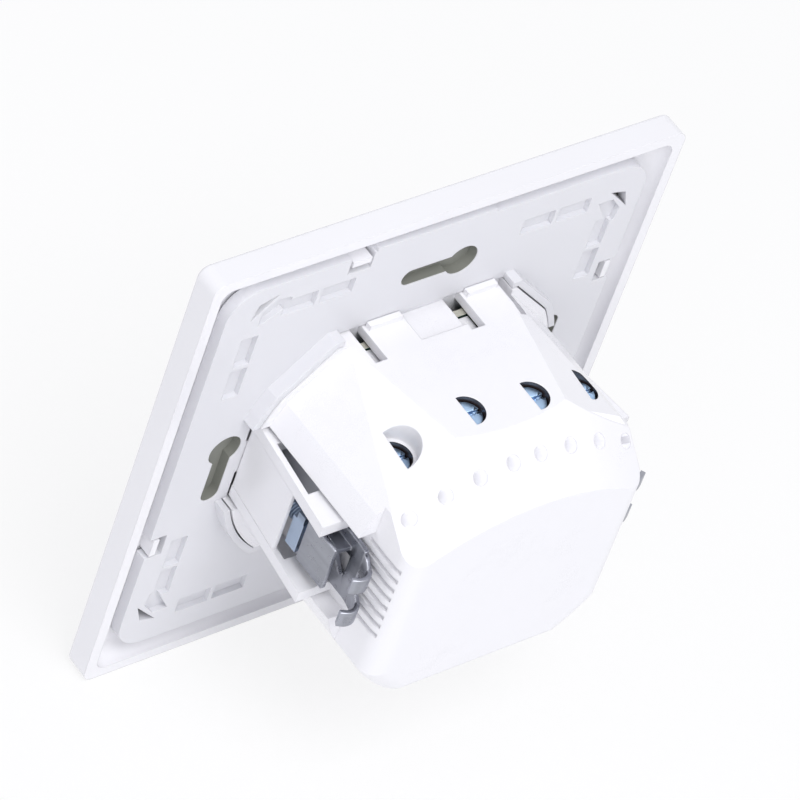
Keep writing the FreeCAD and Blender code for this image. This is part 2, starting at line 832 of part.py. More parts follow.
def board_screws():
    """Four screws that hold the control board to the lid."""
    shapes = []
    for x in (-boss_x, boss_x):
        for z in (-boss_z, boss_z):
            part = screw(x, z, 0, small_head_r, small_head, small_screw_r - screw_slack,
                         control_thick + board_screw_end)
            part = part.mirror(V(0, 0, 0), V(0, 1, 0))
            part.translate(V(0, control_rear + small_head, 0))
            shapes.append(part)
    return Part.Compound(shapes)


def cover_screws():
    """Four screws that hold the lid to the housing."""
    return Part.Compound([screw(x, z, cover_front - small_head, small_head_r, small_head,
                                small_screw_r - screw_slack, lid_screw_end)
                          for x in (-post_x, post_x) for z in (-post_z, post_z)])


def ring_lamps():
    """Four small lamps behind the lid's holes."""
    return Part.Compound([block(x - lamp_half_x, x + lamp_half_x, lamp_front, control_front,
                                z - lamp_half_z, z + lamp_half_z) for x, z in lamp_places])


def radio_module():
    """The radio's shield can on the back of the control board."""
    level = control_rear + radio_base_thick
    x0, x1, z0, z1 = radio_base
    base = block(x0, x1, control_rear, level, z0, z1)
    x0, x1, z0, z1 = radio_can
    return join([base, block(x0, x1, level, level + radio_can_thick, z0, z1)])


def antenna():
    """The radio's wire aerial, an arc along the edge of the control board."""
    ring = Part.makeTorus(aerial_r, aerial_wire_r, V(0, control_rear + aerial_wire_r, 0), V(0, 1, 0),
                          0, 360, aerial_angle)
    return ring.rotated(V(0, control_rear, 0), V(0, 1, 0), aerial_turn)


def pin_header():
    """The header that joins the two boards."""
    return block(header_span[0], header_span[1], control_rear, power_front, -header_half, header_half)


def power_board():
    """The rear board that carries the power parts."""
    board = body_form(body_wall + board_gap, power_front, recess_edge_r)
    board = board.common(block(-beyond, beyond, power_front, power_rear, -beyond, beyond))
    holes = [rod(small_screw_r + guide_clear, x, -stay_z, power_front - past, power_rear + past)
             for x in (-stay_x, stay_x)]
    return cut(board, holes)


def stay_screws():
    """Two screws that hold the power board to the housing."""
    return Part.Compound([screw(x, -stay_z, power_front - small_head, small_head_r, small_head,
                                small_screw_r - screw_slack, power_rear + stay_screw_end)
                          for x in (-stay_x, stay_x)])


def heat_plate():
    """The aluminium plate that spreads the transistors' heat."""
    floor = body_bottom + body_wall + heat_gap
    return block(-heat_half, heat_half, power_rear, heat_end, floor, floor + heat_thick)


def transistors():
    """Two power transistors on the heat plate, with their legs in the power board."""
    floor = body_bottom + body_wall + heat_gap + heat_thick
    shapes = []
    for x in (-transistor_x, transistor_x):
        body = block(x - transistor_half, x + transistor_half, transistor_start, transistor_end,
                     floor, floor + transistor_high)
        legs = [block(x + k * leg_pitch - leg_half, x + k * leg_pitch + leg_half, power_rear,
                      transistor_start, floor + leg_rise, floor + leg_rise + leg_thick)
                for k in (-1, 0, 1)]
        shapes.append(join([body] + legs))
    return Part.Compound(shapes)


def main_capacitor():
    """The round capacitor of the supply."""
    x, z = capacitor_place
    return rod(capacitor_r, x, z, power_rear, power_rear + capacitor_long)


def film_capacitor():
    """The box capacitor against radio noise."""
    x0 = film_inset - recess_floor
    return block(x0, x0 + film_wide, power_rear, power_rear + film_high, film_span[0], film_span[1])


def choke():
    """The wound ring choke on its base."""
    x, z = choke_place
    ring = Part.makeTorus(choke_r, choke_wire_r, V(x, power_rear + choke_lift, z), V(0, 1, 0))
    x0, x1, z0, z1 = choke_base
    return join([ring, block(x0, x1, power_rear, power_rear + choke_base_thick, z0, z1)])


def fuse():
    """The wire-ended fuse on its two feet."""
    z0, z1 = fuse_span
    body = upright(fuse_r, fuse_x, power_rear + fuse_lift, z0, z1)
    feet = [block(fuse_x - fuse_foot / 2, fuse_x + fuse_foot / 2, power_rear, power_rear + fuse_r,
                  z, z + fuse_foot) for z in (z0 + fuse_foot, z1 - 2 * fuse_foot)]
    return join([body] + feet)


def varistor():
    """The disc that takes up surges, on two legs."""
    x, z = disc_place
    disc = rod(disc_r, x, z, power_rear + disc_lift, power_rear + disc_lift + disc_thick)
    legs = [block(leg_x - disc_leg / 2, leg_x + disc_leg / 2, power_rear, power_rear + disc_lift + disc_leg,
                  z - disc_leg / 2, z + disc_leg / 2) for leg_x in disc_leg_x]
    return join([disc] + legs)


def clamp_half(x):
    """Half the width of one clamp: the outer two are narrower, beside the claw recesses."""
    return outer_clamp_half if abs(x) > terminal_split else inner_clamp_half


def clamp_ceiling(x, y, head):
    """The top of one clamp when the terminal is open, so that it fits under the wall when shut."""
    under_head = head - screw_head - clamp_gap
    edge = abs(x) + clamp_half(x)
    under_bevel = (body_bevel - body_wall) * sqrt(2) - edge - clamp_gap
    lean = sqrt(shoulder_side ** 2 + shoulder_rear ** 2 + 1)
    slope = slope_r + (body_rear - y - clamp_deep / 2) * slope_rise - body_wall * sqrt(1 + slope_rise ** 2)
    under_slope = slope_centre + sqrt(slope ** 2 - edge ** 2) - clamp_gap
    under_shoulder = (body_top - body_wall * lean - shoulder_side * (edge - shoulder_x)
                      - shoulder_rear * clamp_deep / 2 - clamp_gap)
    return min(under_head, under_bevel, under_shoulder, under_slope) - clamp_lift


def bar_level(x, y, head):
    """The height of the top of the fixed contact bar in one terminal."""
    return clamp_ceiling(x, y, head) - clamp_top - bar_under


def terminal_screw(x, y, head):
    """One terminal screw with a cross and slot, its tip on the contact bar."""
    top = upright(screw_head_r, x, y, head - screw_head, head)
    shank = upright(screw_r, x, y, bar_level(x, y, head) + screw_tip_gap, head)
    arm = screw_head_r * 0.6
    half = screw_cross / 2
    slot = screw_slot / 2
    cross = [block(x - arm, x + arm, y - half, y + half, head - screw_cross_deep, head),
             block(x - half, x + half, y - arm, y + arm, head - screw_cross_deep, head),
             block(x - 2 * arm, x + 2 * arm, y - slot, y + slot, head - screw_slot_deep, head)]
    return cut(join([top, shank]), cross)


def terminal_clamp(x, y, head):
    """One rising clamp: a square cage round the contact bar."""
    top = clamp_ceiling(x, y, head)
    floor = bar_level(x, y, head) - bar_thick - wire_gap
    half = clamp_half(x)
    y0 = y - clamp_deep / 2
    y1 = y + clamp_deep / 2
    cage = block(x - half, x + half, y0, y1, floor - clamp_floor, top)
    inner = block(x - half + clamp_side, x + half - clamp_side, y0 - past, y1 + past, floor, top - clamp_top)
    thread = upright(screw_r + thread_clear, x, y, top - clamp_top - past, top + past)
    return cut(cage, [inner, thread])


def contact_bars():
    """Four brass bars from the power board into the clamps."""
    shapes = []
    for x, y, head in terminals:
        half = clamp_half(x) - clamp_side - bar_clear
        top = bar_level(x, y, head)
        shapes.append(block(x - half, x + half, power_rear, y + clamp_deep / 2 - bar_clear,
                            top - bar_thick, top))
    return Part.Compound(shapes)


def claw_screw():
    """The long screw that pulls the right claw."""
    head_y = frame_front - claw_head / 2
    return screw(claw_x, 0, head_y, claw_head_r, claw_head, claw_thread_r, claw_screw_end)


def claw_nut():
    """The threaded plate on the right claw's screw, with its two pivot pins and its bent lip."""
    y0 = claw_pivot_y - nut_thick / 2
    plate = block(claw_inner, nut_outer, y0, y0 + nut_thick, -nut_half_z, nut_half_z)
    lip = block(nut_outer - nut_lip_wall, nut_outer, nut_lip_start, nut_lip_end, nut_lip_low, nut_lip_high)
    pins = upright(claw_pin_r, claw_x, claw_pivot_y, -claw_half + pin_short, claw_half - pin_short)
    thread = rod(screw_r + thread_clear, claw_x, 0, nut_lip_start - past, nut_lip_end + past)
    return cut(join([plate, lip, pins]), [thread])


def bent_sheet(start, heading, bends, thick):
    """A face for a sheet that follows arcs, given as (radius, degrees) turns towards +X, and a tail."""
    left = []
    right = []
    place = start
    angle = radians(heading)
    for radius, turn in bends:
        sweep = radians(turn)
        centre = place + V(cos(angle), -sin(angle), 0) * radius
        steps = (angle, angle + sweep / 2, angle + sweep)
        for side, edges in ((radius + thick / 2, left), (radius - thick / 2, right)):
            points = [centre - V(cos(a), -sin(a), 0) * side for a in steps]
            edges.append((Part.Arc(*points).toShape(), points[0], points[2]))
        angle += sweep
        place = centre - V(cos(angle), -sin(angle), 0) * radius
    tail = V(sin(angle), cos(angle), 0) * claw_tip
    outer_end = left[-1][2]
    inner_end = right[-1][2]
    ends = [outer_end, outer_end + tail, inner_end + tail, inner_end]
    lines = [Part.LineSegment(a, b).toShape() for a, b in zip(ends[:-1], ends[1:])]
    close = Part.LineSegment(right[0][1], left[0][1]).toShape()
    edges = [edge for edge, first, last in left] + lines
    edges += [edge for edge, first, last in reversed(right)] + [close]
    return Part.Face(Part.Wire(Part.__sortEdges__(edges)))


def claw_fingers():
    """Both fingers: they lean outwards, curl at their ends and narrow towards the tips."""
    middle = V(claw_inner + claw_sheet / 2, claw_bend_start, -claw_half)
    bends = [(claw_bend_r, claw_bend_angle), (claw_curl_r, claw_curl_angle)]
    face = bent_sheet(middle, 0.0, bends, claw_sheet)
    sheet = face.extrude(V(0, 0, 2 * claw_half))
    far = claw_bend_start + claw_bend_r
    near = claw_bend_start - past
    slope_start = claw_bridge_end - past
    parts = []
    for low in (-claw_half, claw_half - finger_wide):
        wide = low + finger_wide
        tip = low + finger_tip
        outline = [V(0, near, low), V(0, near, wide), V(0, slope_start, wide),
                   V(0, slope_start + finger_taper, tip), V(0, far, tip), V(0, far, low)]
        parts.append(sheet.common(prism(outline, V(beyond, 0, 0))))
    bridge = sheet.common(block(0, beyond, near, claw_bridge_end, -claw_half, claw_half))
    return join([bridge] + parts)


def claw():
    """The right claw: a bent steel fork on the nut's pins, with a folded leg and two curled fingers."""
    outer = claw_inner + claw_sheet
    plate = block(claw_inner, outer, claw_arm_start, claw_bend_start, -claw_half, claw_half)
    slot = block(claw_inner - past, outer + past, claw_arm_start - past, claw_bridge_start,
                 -claw_slot_half, claw_slot_half)
    ears = []
    for z0 in (nut_half_z + claw_ear_gap, -nut_half_z - claw_ear_gap - claw_ear_thick):
        ears.append(block(claw_inner, claw_x + claw_ear, claw_pivot_y - claw_ear_front,
                          claw_arm_start + claw_ear_thick, z0, z0 + claw_ear_thick))
    leg_outer = claw_leg_x + claw_sheet
    lap = claw_sheet / 2
    y1 = claw_fold_start
    y2 = claw_fold_back
    leg = block(claw_leg_x, leg_outer, y1, claw_fold_end, -claw_leg_half, claw_leg_half)
    roof = prism([V(outer - lap, y1, claw_leg_half - lap - claw_sheet),
                  V(leg_outer - lap, y1, claw_leg_half - claw_sheet), V(leg_outer - lap, y1, claw_leg_half),
                  V(outer - lap, y1, claw_leg_half - lap)], V(0, claw_fold_end - y1, 0))
    brace = prism([V(leg_outer - claw_sheet, y2, claw_leg_half), V(leg_outer, y2, claw_leg_half - lap),
                   V(outer + lap, y2, -claw_fold_foot), V(outer - lap, y2, -claw_fold_foot)],
                  V(0, claw_fold_end - y2, 0))
    body = join([cut(plate, [slot]), claw_fingers(), roof, leg, brace] + ears)
    reach = claw_half + past
    pin_hole = upright(claw_pin_r + pivot_clear, claw_x, claw_pivot_y, -reach, reach)
    return cut(body, [pin_hole])


pieces = {
    "cover_plate": cover_plate(),
    "backing_sheet": backing_sheet(),
    "support_frame": support_frame(),
    "housing": housing(),
    "front_cover": front_cover(),
    "rocker_button": rocker_button(),
    "light_guide": light_guide(),
    "control_board": control_board(),
    "board_screws": board_screws(),
    "cover_screws": cover_screws(),
    "ring_lamps": ring_lamps(),
    "radio_module": radio_module(),
    "radio_aerial": antenna(),
    "pin_header": pin_header(),
    "power_board": power_board(),
    "stay_screws": stay_screws(),
    "heat_plate": heat_plate(),
    "power_transistors": transistors(),
    "supply_capacitor": main_capacitor(),
    "film_capacitor": film_capacitor(),
    "ring_choke": choke(),
    "wire_fuse": fuse(),
    "surge_disc": varistor(),
    "contact_bars": contact_bars(),
    "claw_screw_right": claw_screw(),
    "claw_nut_right": claw_nut(),
    "claw_right": claw(),
    "claw_screw_left": mirrored(claw_screw()),
    "claw_nut_left": mirrored(claw_nut()),
    "claw_left": mirrored(claw()),
}
for name, z in (("top", stem_z), ("bottom", -stem_z)):
    pieces["switch_body_" + name] = switch_body(z)
    pieces["switch_stem_" + name] = switch_stem(z)
for number, (x, y, head) in enumerate(terminals, 1):
    pieces["terminal_screw_%d" % number] = terminal_screw(x, y, head)
    pieces["terminal_clamp_%d" % number] = terminal_clamp(x, y, head)

os.makedirs("parts", exist_ok=True)
for name, shape in pieces.items():
    shape.exportStep("parts/" + name + ".step")
    print(name, "solids", len(shape.Solids), "valid", shape.isValid(), "volume", round(shape.Volume, 1))
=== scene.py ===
"""Flush wall dimmer seen from behind: finishes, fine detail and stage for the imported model."""
from math import cos, pi, radians, sin

import bmesh
import bpy
from bpy.props import FloatProperty, FloatVectorProperty, IntProperty, PointerProperty
from bpy.types import Operator, Panel, PropertyGroup
from mathutils import Euler, Matrix, Vector


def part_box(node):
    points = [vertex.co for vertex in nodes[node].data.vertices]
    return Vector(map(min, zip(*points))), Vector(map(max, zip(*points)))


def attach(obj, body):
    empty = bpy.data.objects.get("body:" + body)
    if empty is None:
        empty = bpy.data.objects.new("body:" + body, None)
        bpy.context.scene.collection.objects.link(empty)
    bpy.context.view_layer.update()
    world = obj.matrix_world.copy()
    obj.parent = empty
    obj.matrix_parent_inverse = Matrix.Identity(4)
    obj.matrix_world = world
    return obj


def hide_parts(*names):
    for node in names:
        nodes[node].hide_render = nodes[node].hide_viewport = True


bl_info = {
    "name": "Flush Wall Dimmer",
    "version": (1, 0, 0),
    "blender": (4, 5, 0),
    "location": "3D View > Sidebar > Dimmer",
    "description": "Dresses the packed dimmer with its finishes, threads, small parts and stage",
    "category": "Object",
}

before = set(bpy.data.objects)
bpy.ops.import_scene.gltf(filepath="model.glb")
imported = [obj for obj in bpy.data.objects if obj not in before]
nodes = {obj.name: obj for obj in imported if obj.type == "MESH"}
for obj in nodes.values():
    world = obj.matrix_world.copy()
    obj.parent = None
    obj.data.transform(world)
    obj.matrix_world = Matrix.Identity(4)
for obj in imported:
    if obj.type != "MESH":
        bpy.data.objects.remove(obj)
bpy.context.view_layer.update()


def colour_prop(name, description, default):
    """A colour that the sidebar shows."""
    return FloatVectorProperty(name=name, description=description, subtype="COLOR", size=3,
                               min=0.0, max=1.0, default=default)


def length_prop(name, description, default):
    """A small length in metres."""
    return FloatProperty(name=name, description=description, unit="LENGTH", precision=5,
                         min=0.0, default=default)


class DimmerFinish(PropertyGroup):
    """Colours of the moulded and metal parts."""

    plate: colour_prop("Cover Plate", "Glossy white of the cover plate", (0.86, 0.855, 0.88))
    support: colour_prop("Support Frame", "Satin grey white of the frame", (0.74, 0.74, 0.77))
    housing: colour_prop("Housing", "White of the insert's shell", (0.87, 0.865, 0.89))
    key: colour_prop("Rocker", "White of the rocker", (0.86, 0.855, 0.87))
    guide: colour_prop("Light Guide", "Frosted clear plastic of the ring", (0.86, 0.90, 0.94))
    # Painted shade: this dark brown is painted on the wells' upright walls, where shade falls round
    # the terminal screws.
    shade: colour_prop("Well Shade", "Dark brown of the wells' walls", (0.035, 0.024, 0.024))
    sheet: colour_prop("Seal Sheet", "Grey green sheet behind the frame", (0.28, 0.285, 0.255))
    steel: colour_prop("Claw Steel", "Bright sheet steel of the claws", (0.31, 0.32, 0.36))
    zinc: colour_prop("Zinc", "Blue zinc of the claw screws and nuts", (0.30, 0.36, 0.46))
    blue: colour_prop("Terminal Zinc", "Blue zinc of the terminal screws", (0.40, 0.55, 0.80))
    nickel: colour_prop("Clamp Steel", "Nickel plated steel of the clamps", (0.56, 0.54, 0.50))
    brass: colour_prop("Contact Brass", "Rolled brass of the contact bars", (0.62, 0.45, 0.17))
    # Partly painted shade: the solder mask's own dark green, set darker still so that the board
    # reads as shade where it shows through the housing's slots.
    laminate: colour_prop("Board", "Solder mask of both boards", (0.012, 0.045, 0.028))
    core: colour_prop("Board Core", "Bare glass fibre at the boards' cut edges", (0.52, 0.51, 0.44))


class DimmerSizes(PropertyGroup):
    """Edge radii, threads and other small sizes."""

    plate_edge: length_prop("Plate Edge", "Edge radius of the cover plate", 0.00022)
    frame_edge: length_prop("Frame Edge", "Edge radius of the support frame", 0.00016)
    housing_edge: length_prop("Housing Edge", "Edge radius of the housing", 0.00022)
    metal_edge: length_prop("Metal Edge", "Edge radius of pressed metal", 0.00008)
    pitch: length_prop("Thread Pitch", "Pitch of the claw and terminal screws", 0.0005)
    crest: length_prop("Thread Radius", "Crest radius of the claw screws", 0.00145)
    depth: length_prop("Thread Depth", "Depth of the claw screws' thread", 0.00022)
    # Painted light: strength of the emission painted on the wire entries' walls.
    painted_light_strength: FloatProperty(name="Seeping Light", description="Light through the wire entries' walls",
                        default=0.24, min=0.0, max=2.0)
    film_inset: length_prop("Film Inset", "From the frame's front to its slots' films", 0.00002)
    film_thick: length_prop("Film Thickness", "Thickness of the slots' films", 0.00015)
    shield_thick: length_prop("Shield Thickness", "Thickness of the shields in the housing", 0.0003)
    bolt_head: length_prop("Bolt Head", "Height of the claw screws' heads", 0.0018)
    bolt_plain: length_prop("Bolt Plain Length", "Plain shank behind the claw screws' heads", 0.004)
    chips: IntProperty(name="Board Parts", description="Rows of small parts on each board",
                       default=9, min=2, max=20)


class DimmerStage(PropertyGroup):
    """Camera, lamps and floor."""

    lens: FloatProperty(name="Lens", description="Focal length of the camera", unit="CAMERA",
                        default=285.4)
    key_power: FloatProperty(name="Key Lamp", description="Power of the soft lamp above",
                             unit="POWER", default=5.0)
    fill_power: FloatProperty(name="Fill Lamp", unit="POWER", default=1.5,
                              description="Power of the soft lamp beside the camera")
    ambient: FloatProperty(name="Ambient", description="Strength of the light from all round",
                           default=0.62, min=0.0, max=2.0)
    floor: colour_prop("Floor", "Pale floor", (0.90, 0.90, 0.91))


def socket(tree, name, way, kind, default=None):
    """Adds one named socket to a node group."""
    made = tree.interface.new_socket(name=name, in_out=way, socket_type=kind)
    if default is not None:
        made.default_value = default


def shader_group(name, inputs, outputs):
    """A new shader node group with its sockets and its two end nodes."""
    tree = bpy.data.node_groups.new(name, "ShaderNodeTree")
    for label, default in inputs:
        socket(tree, label, "INPUT", "NodeSocketFloat", default)
    for label in outputs:
        socket(tree, label, "OUTPUT", "NodeSocketFloat")
    return tree, tree.nodes.new("NodeGroupInput"), tree.nodes.new("NodeGroupOutput")


def noise(tree, vector, scale, detail, roughness=0.55):
    """One noise texture on a vector, with its scale from a socket."""
    node = tree.nodes.new("ShaderNodeTexNoise")
    node.inputs["Detail"].default_value = detail
    node.inputs["Roughness"].default_value = roughness
    tree.links.new(scale, node.inputs["Scale"])
    tree.links.new(vector, node.inputs["Vector"])
    return node.outputs["Fac"]


def math_node(tree, operation, a, b=None):
    """One math node; numbers are set, sockets are linked."""
    node = tree.nodes.new("ShaderNodeMath")
    node.operation = operation
    for i, value in enumerate((a, b)):
        if value is None:
            continue
        if isinstance(value, (int, float)):
            node.inputs[i].default_value = value
        else:
            tree.links.new(value, node.inputs[i])
    return node.outputs[0]


def moulded_surface():
    """Moulded plastic: broad flow mottle, fine spark-eroded grain and faint sink in the gloss."""
    tree, start, end = shader_group(
        "moulded_surface", [("Mottle Scale", 60.0), ("Grain Scale", 7000.0), ("Grain", 0.5)],
        ["Tone", "Sheen", "Height"])
    fine_sheen, broad_sheen, broad_height = 0.35, 0.65, 0.5
    place = tree.nodes.new("ShaderNodeTexCoord").outputs["Object"]
    broad = noise(tree, place, start.outputs["Mottle Scale"], 4.0)
    fine = noise(tree, place, start.outputs["Grain Scale"], 2.0)
    tree.links.new(broad, end.inputs["Tone"])
    sheen = math_node(tree, "MULTIPLY", fine, fine_sheen)
    tree.links.new(math_node(tree, "ADD", sheen, math_node(tree, "MULTIPLY", broad, broad_sheen)),
                   end.inputs["Sheen"])
    grain = math_node(tree, "MULTIPLY", fine, start.outputs["Grain"])
    tree.links.new(math_node(tree, "ADD", grain, math_node(tree, "MULTIPLY", broad, broad_height)),
                   end.inputs["Height"])
    return tree


def worked_metal():
    """Pressed or plated metal: rolling streaks, spots and bright worn edges."""
    tree, start, end = shader_group(
        "worked_metal", [("Streak Scale", 900.0), ("Spot Scale", 420.0), ("Wear", 0.6)],
        ["Tone", "Gloss", "Height"])
    place = tree.nodes.new("ShaderNodeTexCoord").outputs["Object"]
    rolling, sharp_from, sharp_to, half = 0.06, 0.52, 0.62, 0.5
    stretch = tree.nodes.new("ShaderNodeMapping")
    stretch.inputs["Scale"].default_value = (1.0, rolling, 1.0)
    tree.links.new(place, stretch.inputs["Vector"])
    streak = noise(tree, stretch.outputs["Vector"], start.outputs["Streak Scale"], 3.0, 0.6)
    spot = noise(tree, place, start.outputs["Spot Scale"], 4.0, 0.6)
    sharp = tree.nodes.new("ShaderNodeNewGeometry").outputs["Pointiness"]
    edge = tree.nodes.new("ShaderNodeMapRange")
    edge.inputs["From Min"].default_value = sharp_from
    edge.inputs["From Max"].default_value = sharp_to
    tree.links.new(sharp, edge.inputs["Value"])
    worn = math_node(tree, "MULTIPLY", edge.outputs["Result"], start.outputs["Wear"])
    both = math_node(tree, "ADD", math_node(tree, "MULTIPLY", streak, half),
                     math_node(tree, "MULTIPLY", spot, half))
    total = tree.nodes.new("ShaderNodeClamp")
    tree.links.new(math_node(tree, "ADD", both, worn), total.inputs["Value"])
    tree.links.new(total.outputs["Result"], end.inputs["Tone"])
    tree.links.new(spot, end.inputs["Gloss"])
    tree.links.new(math_node(tree, "ADD", streak, spot), end.inputs["Height"])
    return tree


def cut_edges():
    """One on the cut edges of a board, whose faces look along Y."""
    tree, start, end = shader_group("cut_edges", [("Facing", 0.5)], ["Share"])
    tilt = tree.nodes.new("ShaderNodeSeparateXYZ")
    tree.links.new(tree.nodes.new("ShaderNodeNewGeometry").outputs["True Normal"],
                   tilt.inputs["Vector"])
    flat = math_node(tree, "ABSOLUTE", tilt.outputs["Y"])
    tree.links.new(math_node(tree, "LESS_THAN", flat, start.outputs["Facing"]), end.inputs["Share"])
    return tree


def copper_lines():
    """Conductor tracks under solder mask: a fine net of straight runs."""
    tree, start, end = shader_group("copper_lines", [("Track Scale", 420.0), ("Track Edge", 0.42)],
                                    ["Track", "Height"])
    place = tree.nodes.new("ShaderNodeTexCoord").outputs["Object"]
    cells = tree.nodes.new("ShaderNodeTexVoronoi")
    cells.distance = "CHEBYCHEV"
    cells.feature = "F1"
    tree.links.new(place, cells.inputs["Vector"])
    tree.links.new(start.outputs["Track Scale"], cells.inputs["Scale"])
    step = math_node(tree, "GREATER_THAN", cells.outputs["Distance"], start.outputs["Track Edge"])
    tree.links.new(step, end.inputs["Track"])
    tree.links.new(step, end.inputs["Height"])
    return tree


groups = {}


def group(maker):
    """The node group that a maker builds, built once."""
    if maker.__name__ not in groups:
        groups[maker.__name__] = maker()
    return groups[maker.__name__]


def blank_material(name):
    """A material with only a Principled shader and its output."""
    material = bpy.data.materials.new(name)
    material.use_nodes = True
    tree = material.node_tree
    tree.nodes.clear()
    shader = tree.nodes.new("ShaderNodeBsdfPrincipled")
    end = tree.nodes.new("ShaderNodeOutputMaterial")
    tree.links.new(shader.outputs["BSDF"], end.inputs["Surface"])
    return material, tree, shader


def tinted(tree, shader, factor, dark, light):
    """Base Color that runs from a darker to a lighter tone with a factor."""
    ramp = tree.nodes.new("ShaderNodeMix")
    ramp.data_type = "RGBA"
    ramp.inputs["A"].default_value = (*dark, 1.0)
    ramp.inputs["B"].default_value = (*light, 1.0)
    tree.links.new(factor, ramp.inputs["Factor"])
    tree.links.new(ramp.outputs["Result"], shader.inputs["Base Color"])


def spread(tree, shader, factor, low, high):
    """Roughness that runs between two values with a noise, which seldom leaves its middle band."""
    band_low, band_high = 0.3, 0.7
    node = tree.nodes.new("ShaderNodeMapRange")
    node.inputs["From Min"].default_value = band_low
    node.inputs["From Max"].default_value = band_high
    node.inputs["To Min"].default_value = low
    node.inputs["To Max"].default_value = high
    tree.links.new(factor, node.inputs["Value"])
    tree.links.new(node.outputs["Result"], shader.inputs["Roughness"])


def bumped(tree, shader, height, distance, strength, edge=0.0):
    """A bump on the shader's normal, over edges that look rounded by a radius."""
    node = tree.nodes.new("ShaderNodeBump")
    if edge:
        rounded = tree.nodes.new("ShaderNodeBevel")
        rounded.samples = 8
        rounded.inputs["Radius"].default_value = edge
        tree.links.new(rounded.outputs["Normal"], node.inputs["Normal"])
    node.inputs["Distance"].default_value = distance
    node.inputs["Strength"].default_value = strength
    tree.links.new(height, node.inputs["Height"])
    tree.links.new(node.outputs["Normal"], shader.inputs["Normal"])


def shade(colour, factor):
    """A colour times a factor, kept at one or less."""
    return tuple(min(1.0, c * factor) for c in colour)


def plastic(name, colour, rough, edge=0.0, grain=0.4, bump=0.15, coat=0.0, depth=0.0):
    """One moulded plastic with its own gloss, grain and light scatter."""
    darker, lighter, smoother, rougher, grain_height = 0.975, 1.02, 0.8, 1.25, 0.00004
    material, tree, shader = blank_material(name)
    surface = tree.nodes.new("ShaderNodeGroup")
    surface.node_tree = group(moulded_surface)
    surface.inputs["Grain"].default_value = grain
    tinted(tree, shader, surface.outputs["Tone"], shade(colour, darker), shade(colour, lighter))
    spread(tree, shader, surface.outputs["Sheen"], rough * smoother, rough * rougher)
    bumped(tree, shader, surface.outputs["Height"], grain_height, bump, edge)
    shader.inputs["Coat Weight"].default_value = coat
    shader.inputs["Coat Roughness"].default_value = 0.12
    shader.inputs["IOR"].default_value = 1.5
    if depth:
        shader.inputs["Subsurface Weight"].default_value = depth
        shader.inputs["Subsurface Radius"].default_value = (1.0, 0.95, 0.9)
        shader.inputs["Subsurface Scale"].default_value = 0.0012
    return material


def within(tree, value, low, high):
    """One where a value lies between two limits, else zero."""
    return math_node(tree, "MULTIPLY", math_node(tree, "GREATER_THAN", value, low),
                     math_node(tree, "LESS_THAN", value, high))


def place_axes(tree):
    """The object's own x, y and z at each point."""
    parts = tree.nodes.new("ShaderNodeSeparateXYZ")
    tree.links.new(tree.nodes.new("ShaderNodeTexCoord").outputs["Object"], parts.inputs["Vector"])
    return parts.outputs["X"], parts.outputs["Y"], parts.outputs["Z"]


def radius_of(tree, a, b):
    """The length of two coordinates together."""
    return math_node(tree, "SQRT", math_node(tree, "ADD", math_node(tree, "MULTIPLY", a, a),
                                             math_node(tree, "MULTIPLY", b, b)))


def slot_shadow():
    """Painted shadow: one on the side walls of the four keyhole slots, below the frame's rear face.
    """
    tree, start, end = shader_group(
        "slot_shadow", [("Level", -0.00055), ("Inner", 0.0270), ("Outer", 0.0331),
                        ("Half Length", 0.0087)], ["Share"])
    x, y, z = place_axes(tree)
    across = math_node(tree, "ABSOLUTE", x)
    along = math_node(tree, "ABSOLUTE", z)
    deep = math_node(tree, "LESS_THAN", y, start.outputs["Level"])
    far = within(tree, math_node(tree, "MAXIMUM", across, along), start.outputs["Inner"],
                 start.outputs["Outer"])
    near = math_node(tree, "LESS_THAN", math_node(tree, "MINIMUM", across, along),
                     start.outputs["Half Length"])
    tree.links.new(math_node(tree, "MULTIPLY", deep, math_node(tree, "MULTIPLY", far, near)),
                   end.inputs["Share"])
    return tree


def well_painted_shade():
    """Painted shade: one on the upright walls of the four wells round the terminal screws."""
    tree, start, end = shader_group(
        "well_painted_shade", [("Well Radius", 0.00295), ("Level", 0.012), ("Upright", 0.35)], ["Share"])
    x, y, z = place_axes(tree)
    tilt = tree.nodes.new("ShaderNodeSeparateXYZ")
    tree.links.new(tree.nodes.new("ShaderNodeNewGeometry").outputs["True Normal"],
                   tilt.inputs["Vector"])
    wall = math_node(tree, "LESS_THAN", math_node(tree, "ABSOLUTE", tilt.outputs["Z"]),
                     start.outputs["Upright"])
    total = 0.0
    for number in range(1, 5):
        low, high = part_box("terminal_screw_%d" % number)
        away = radius_of(tree, math_node(tree, "SUBTRACT", x, (low.x + high.x) / 2),
                         math_node(tree, "SUBTRACT", y, (low.y + high.y) / 2))
        inside = math_node(tree, "LESS_THAN", away, start.outputs["Well Radius"])
        total = math_node(tree, "ADD", inside, total)
    above = math_node(tree, "GREATER_THAN", z, start.outputs["Level"])
    tree.links.new(math_node(tree, "MULTIPLY", total, math_node(tree, "MULTIPLY", wall, above)),
                   end.inputs["Share"])
    return tree


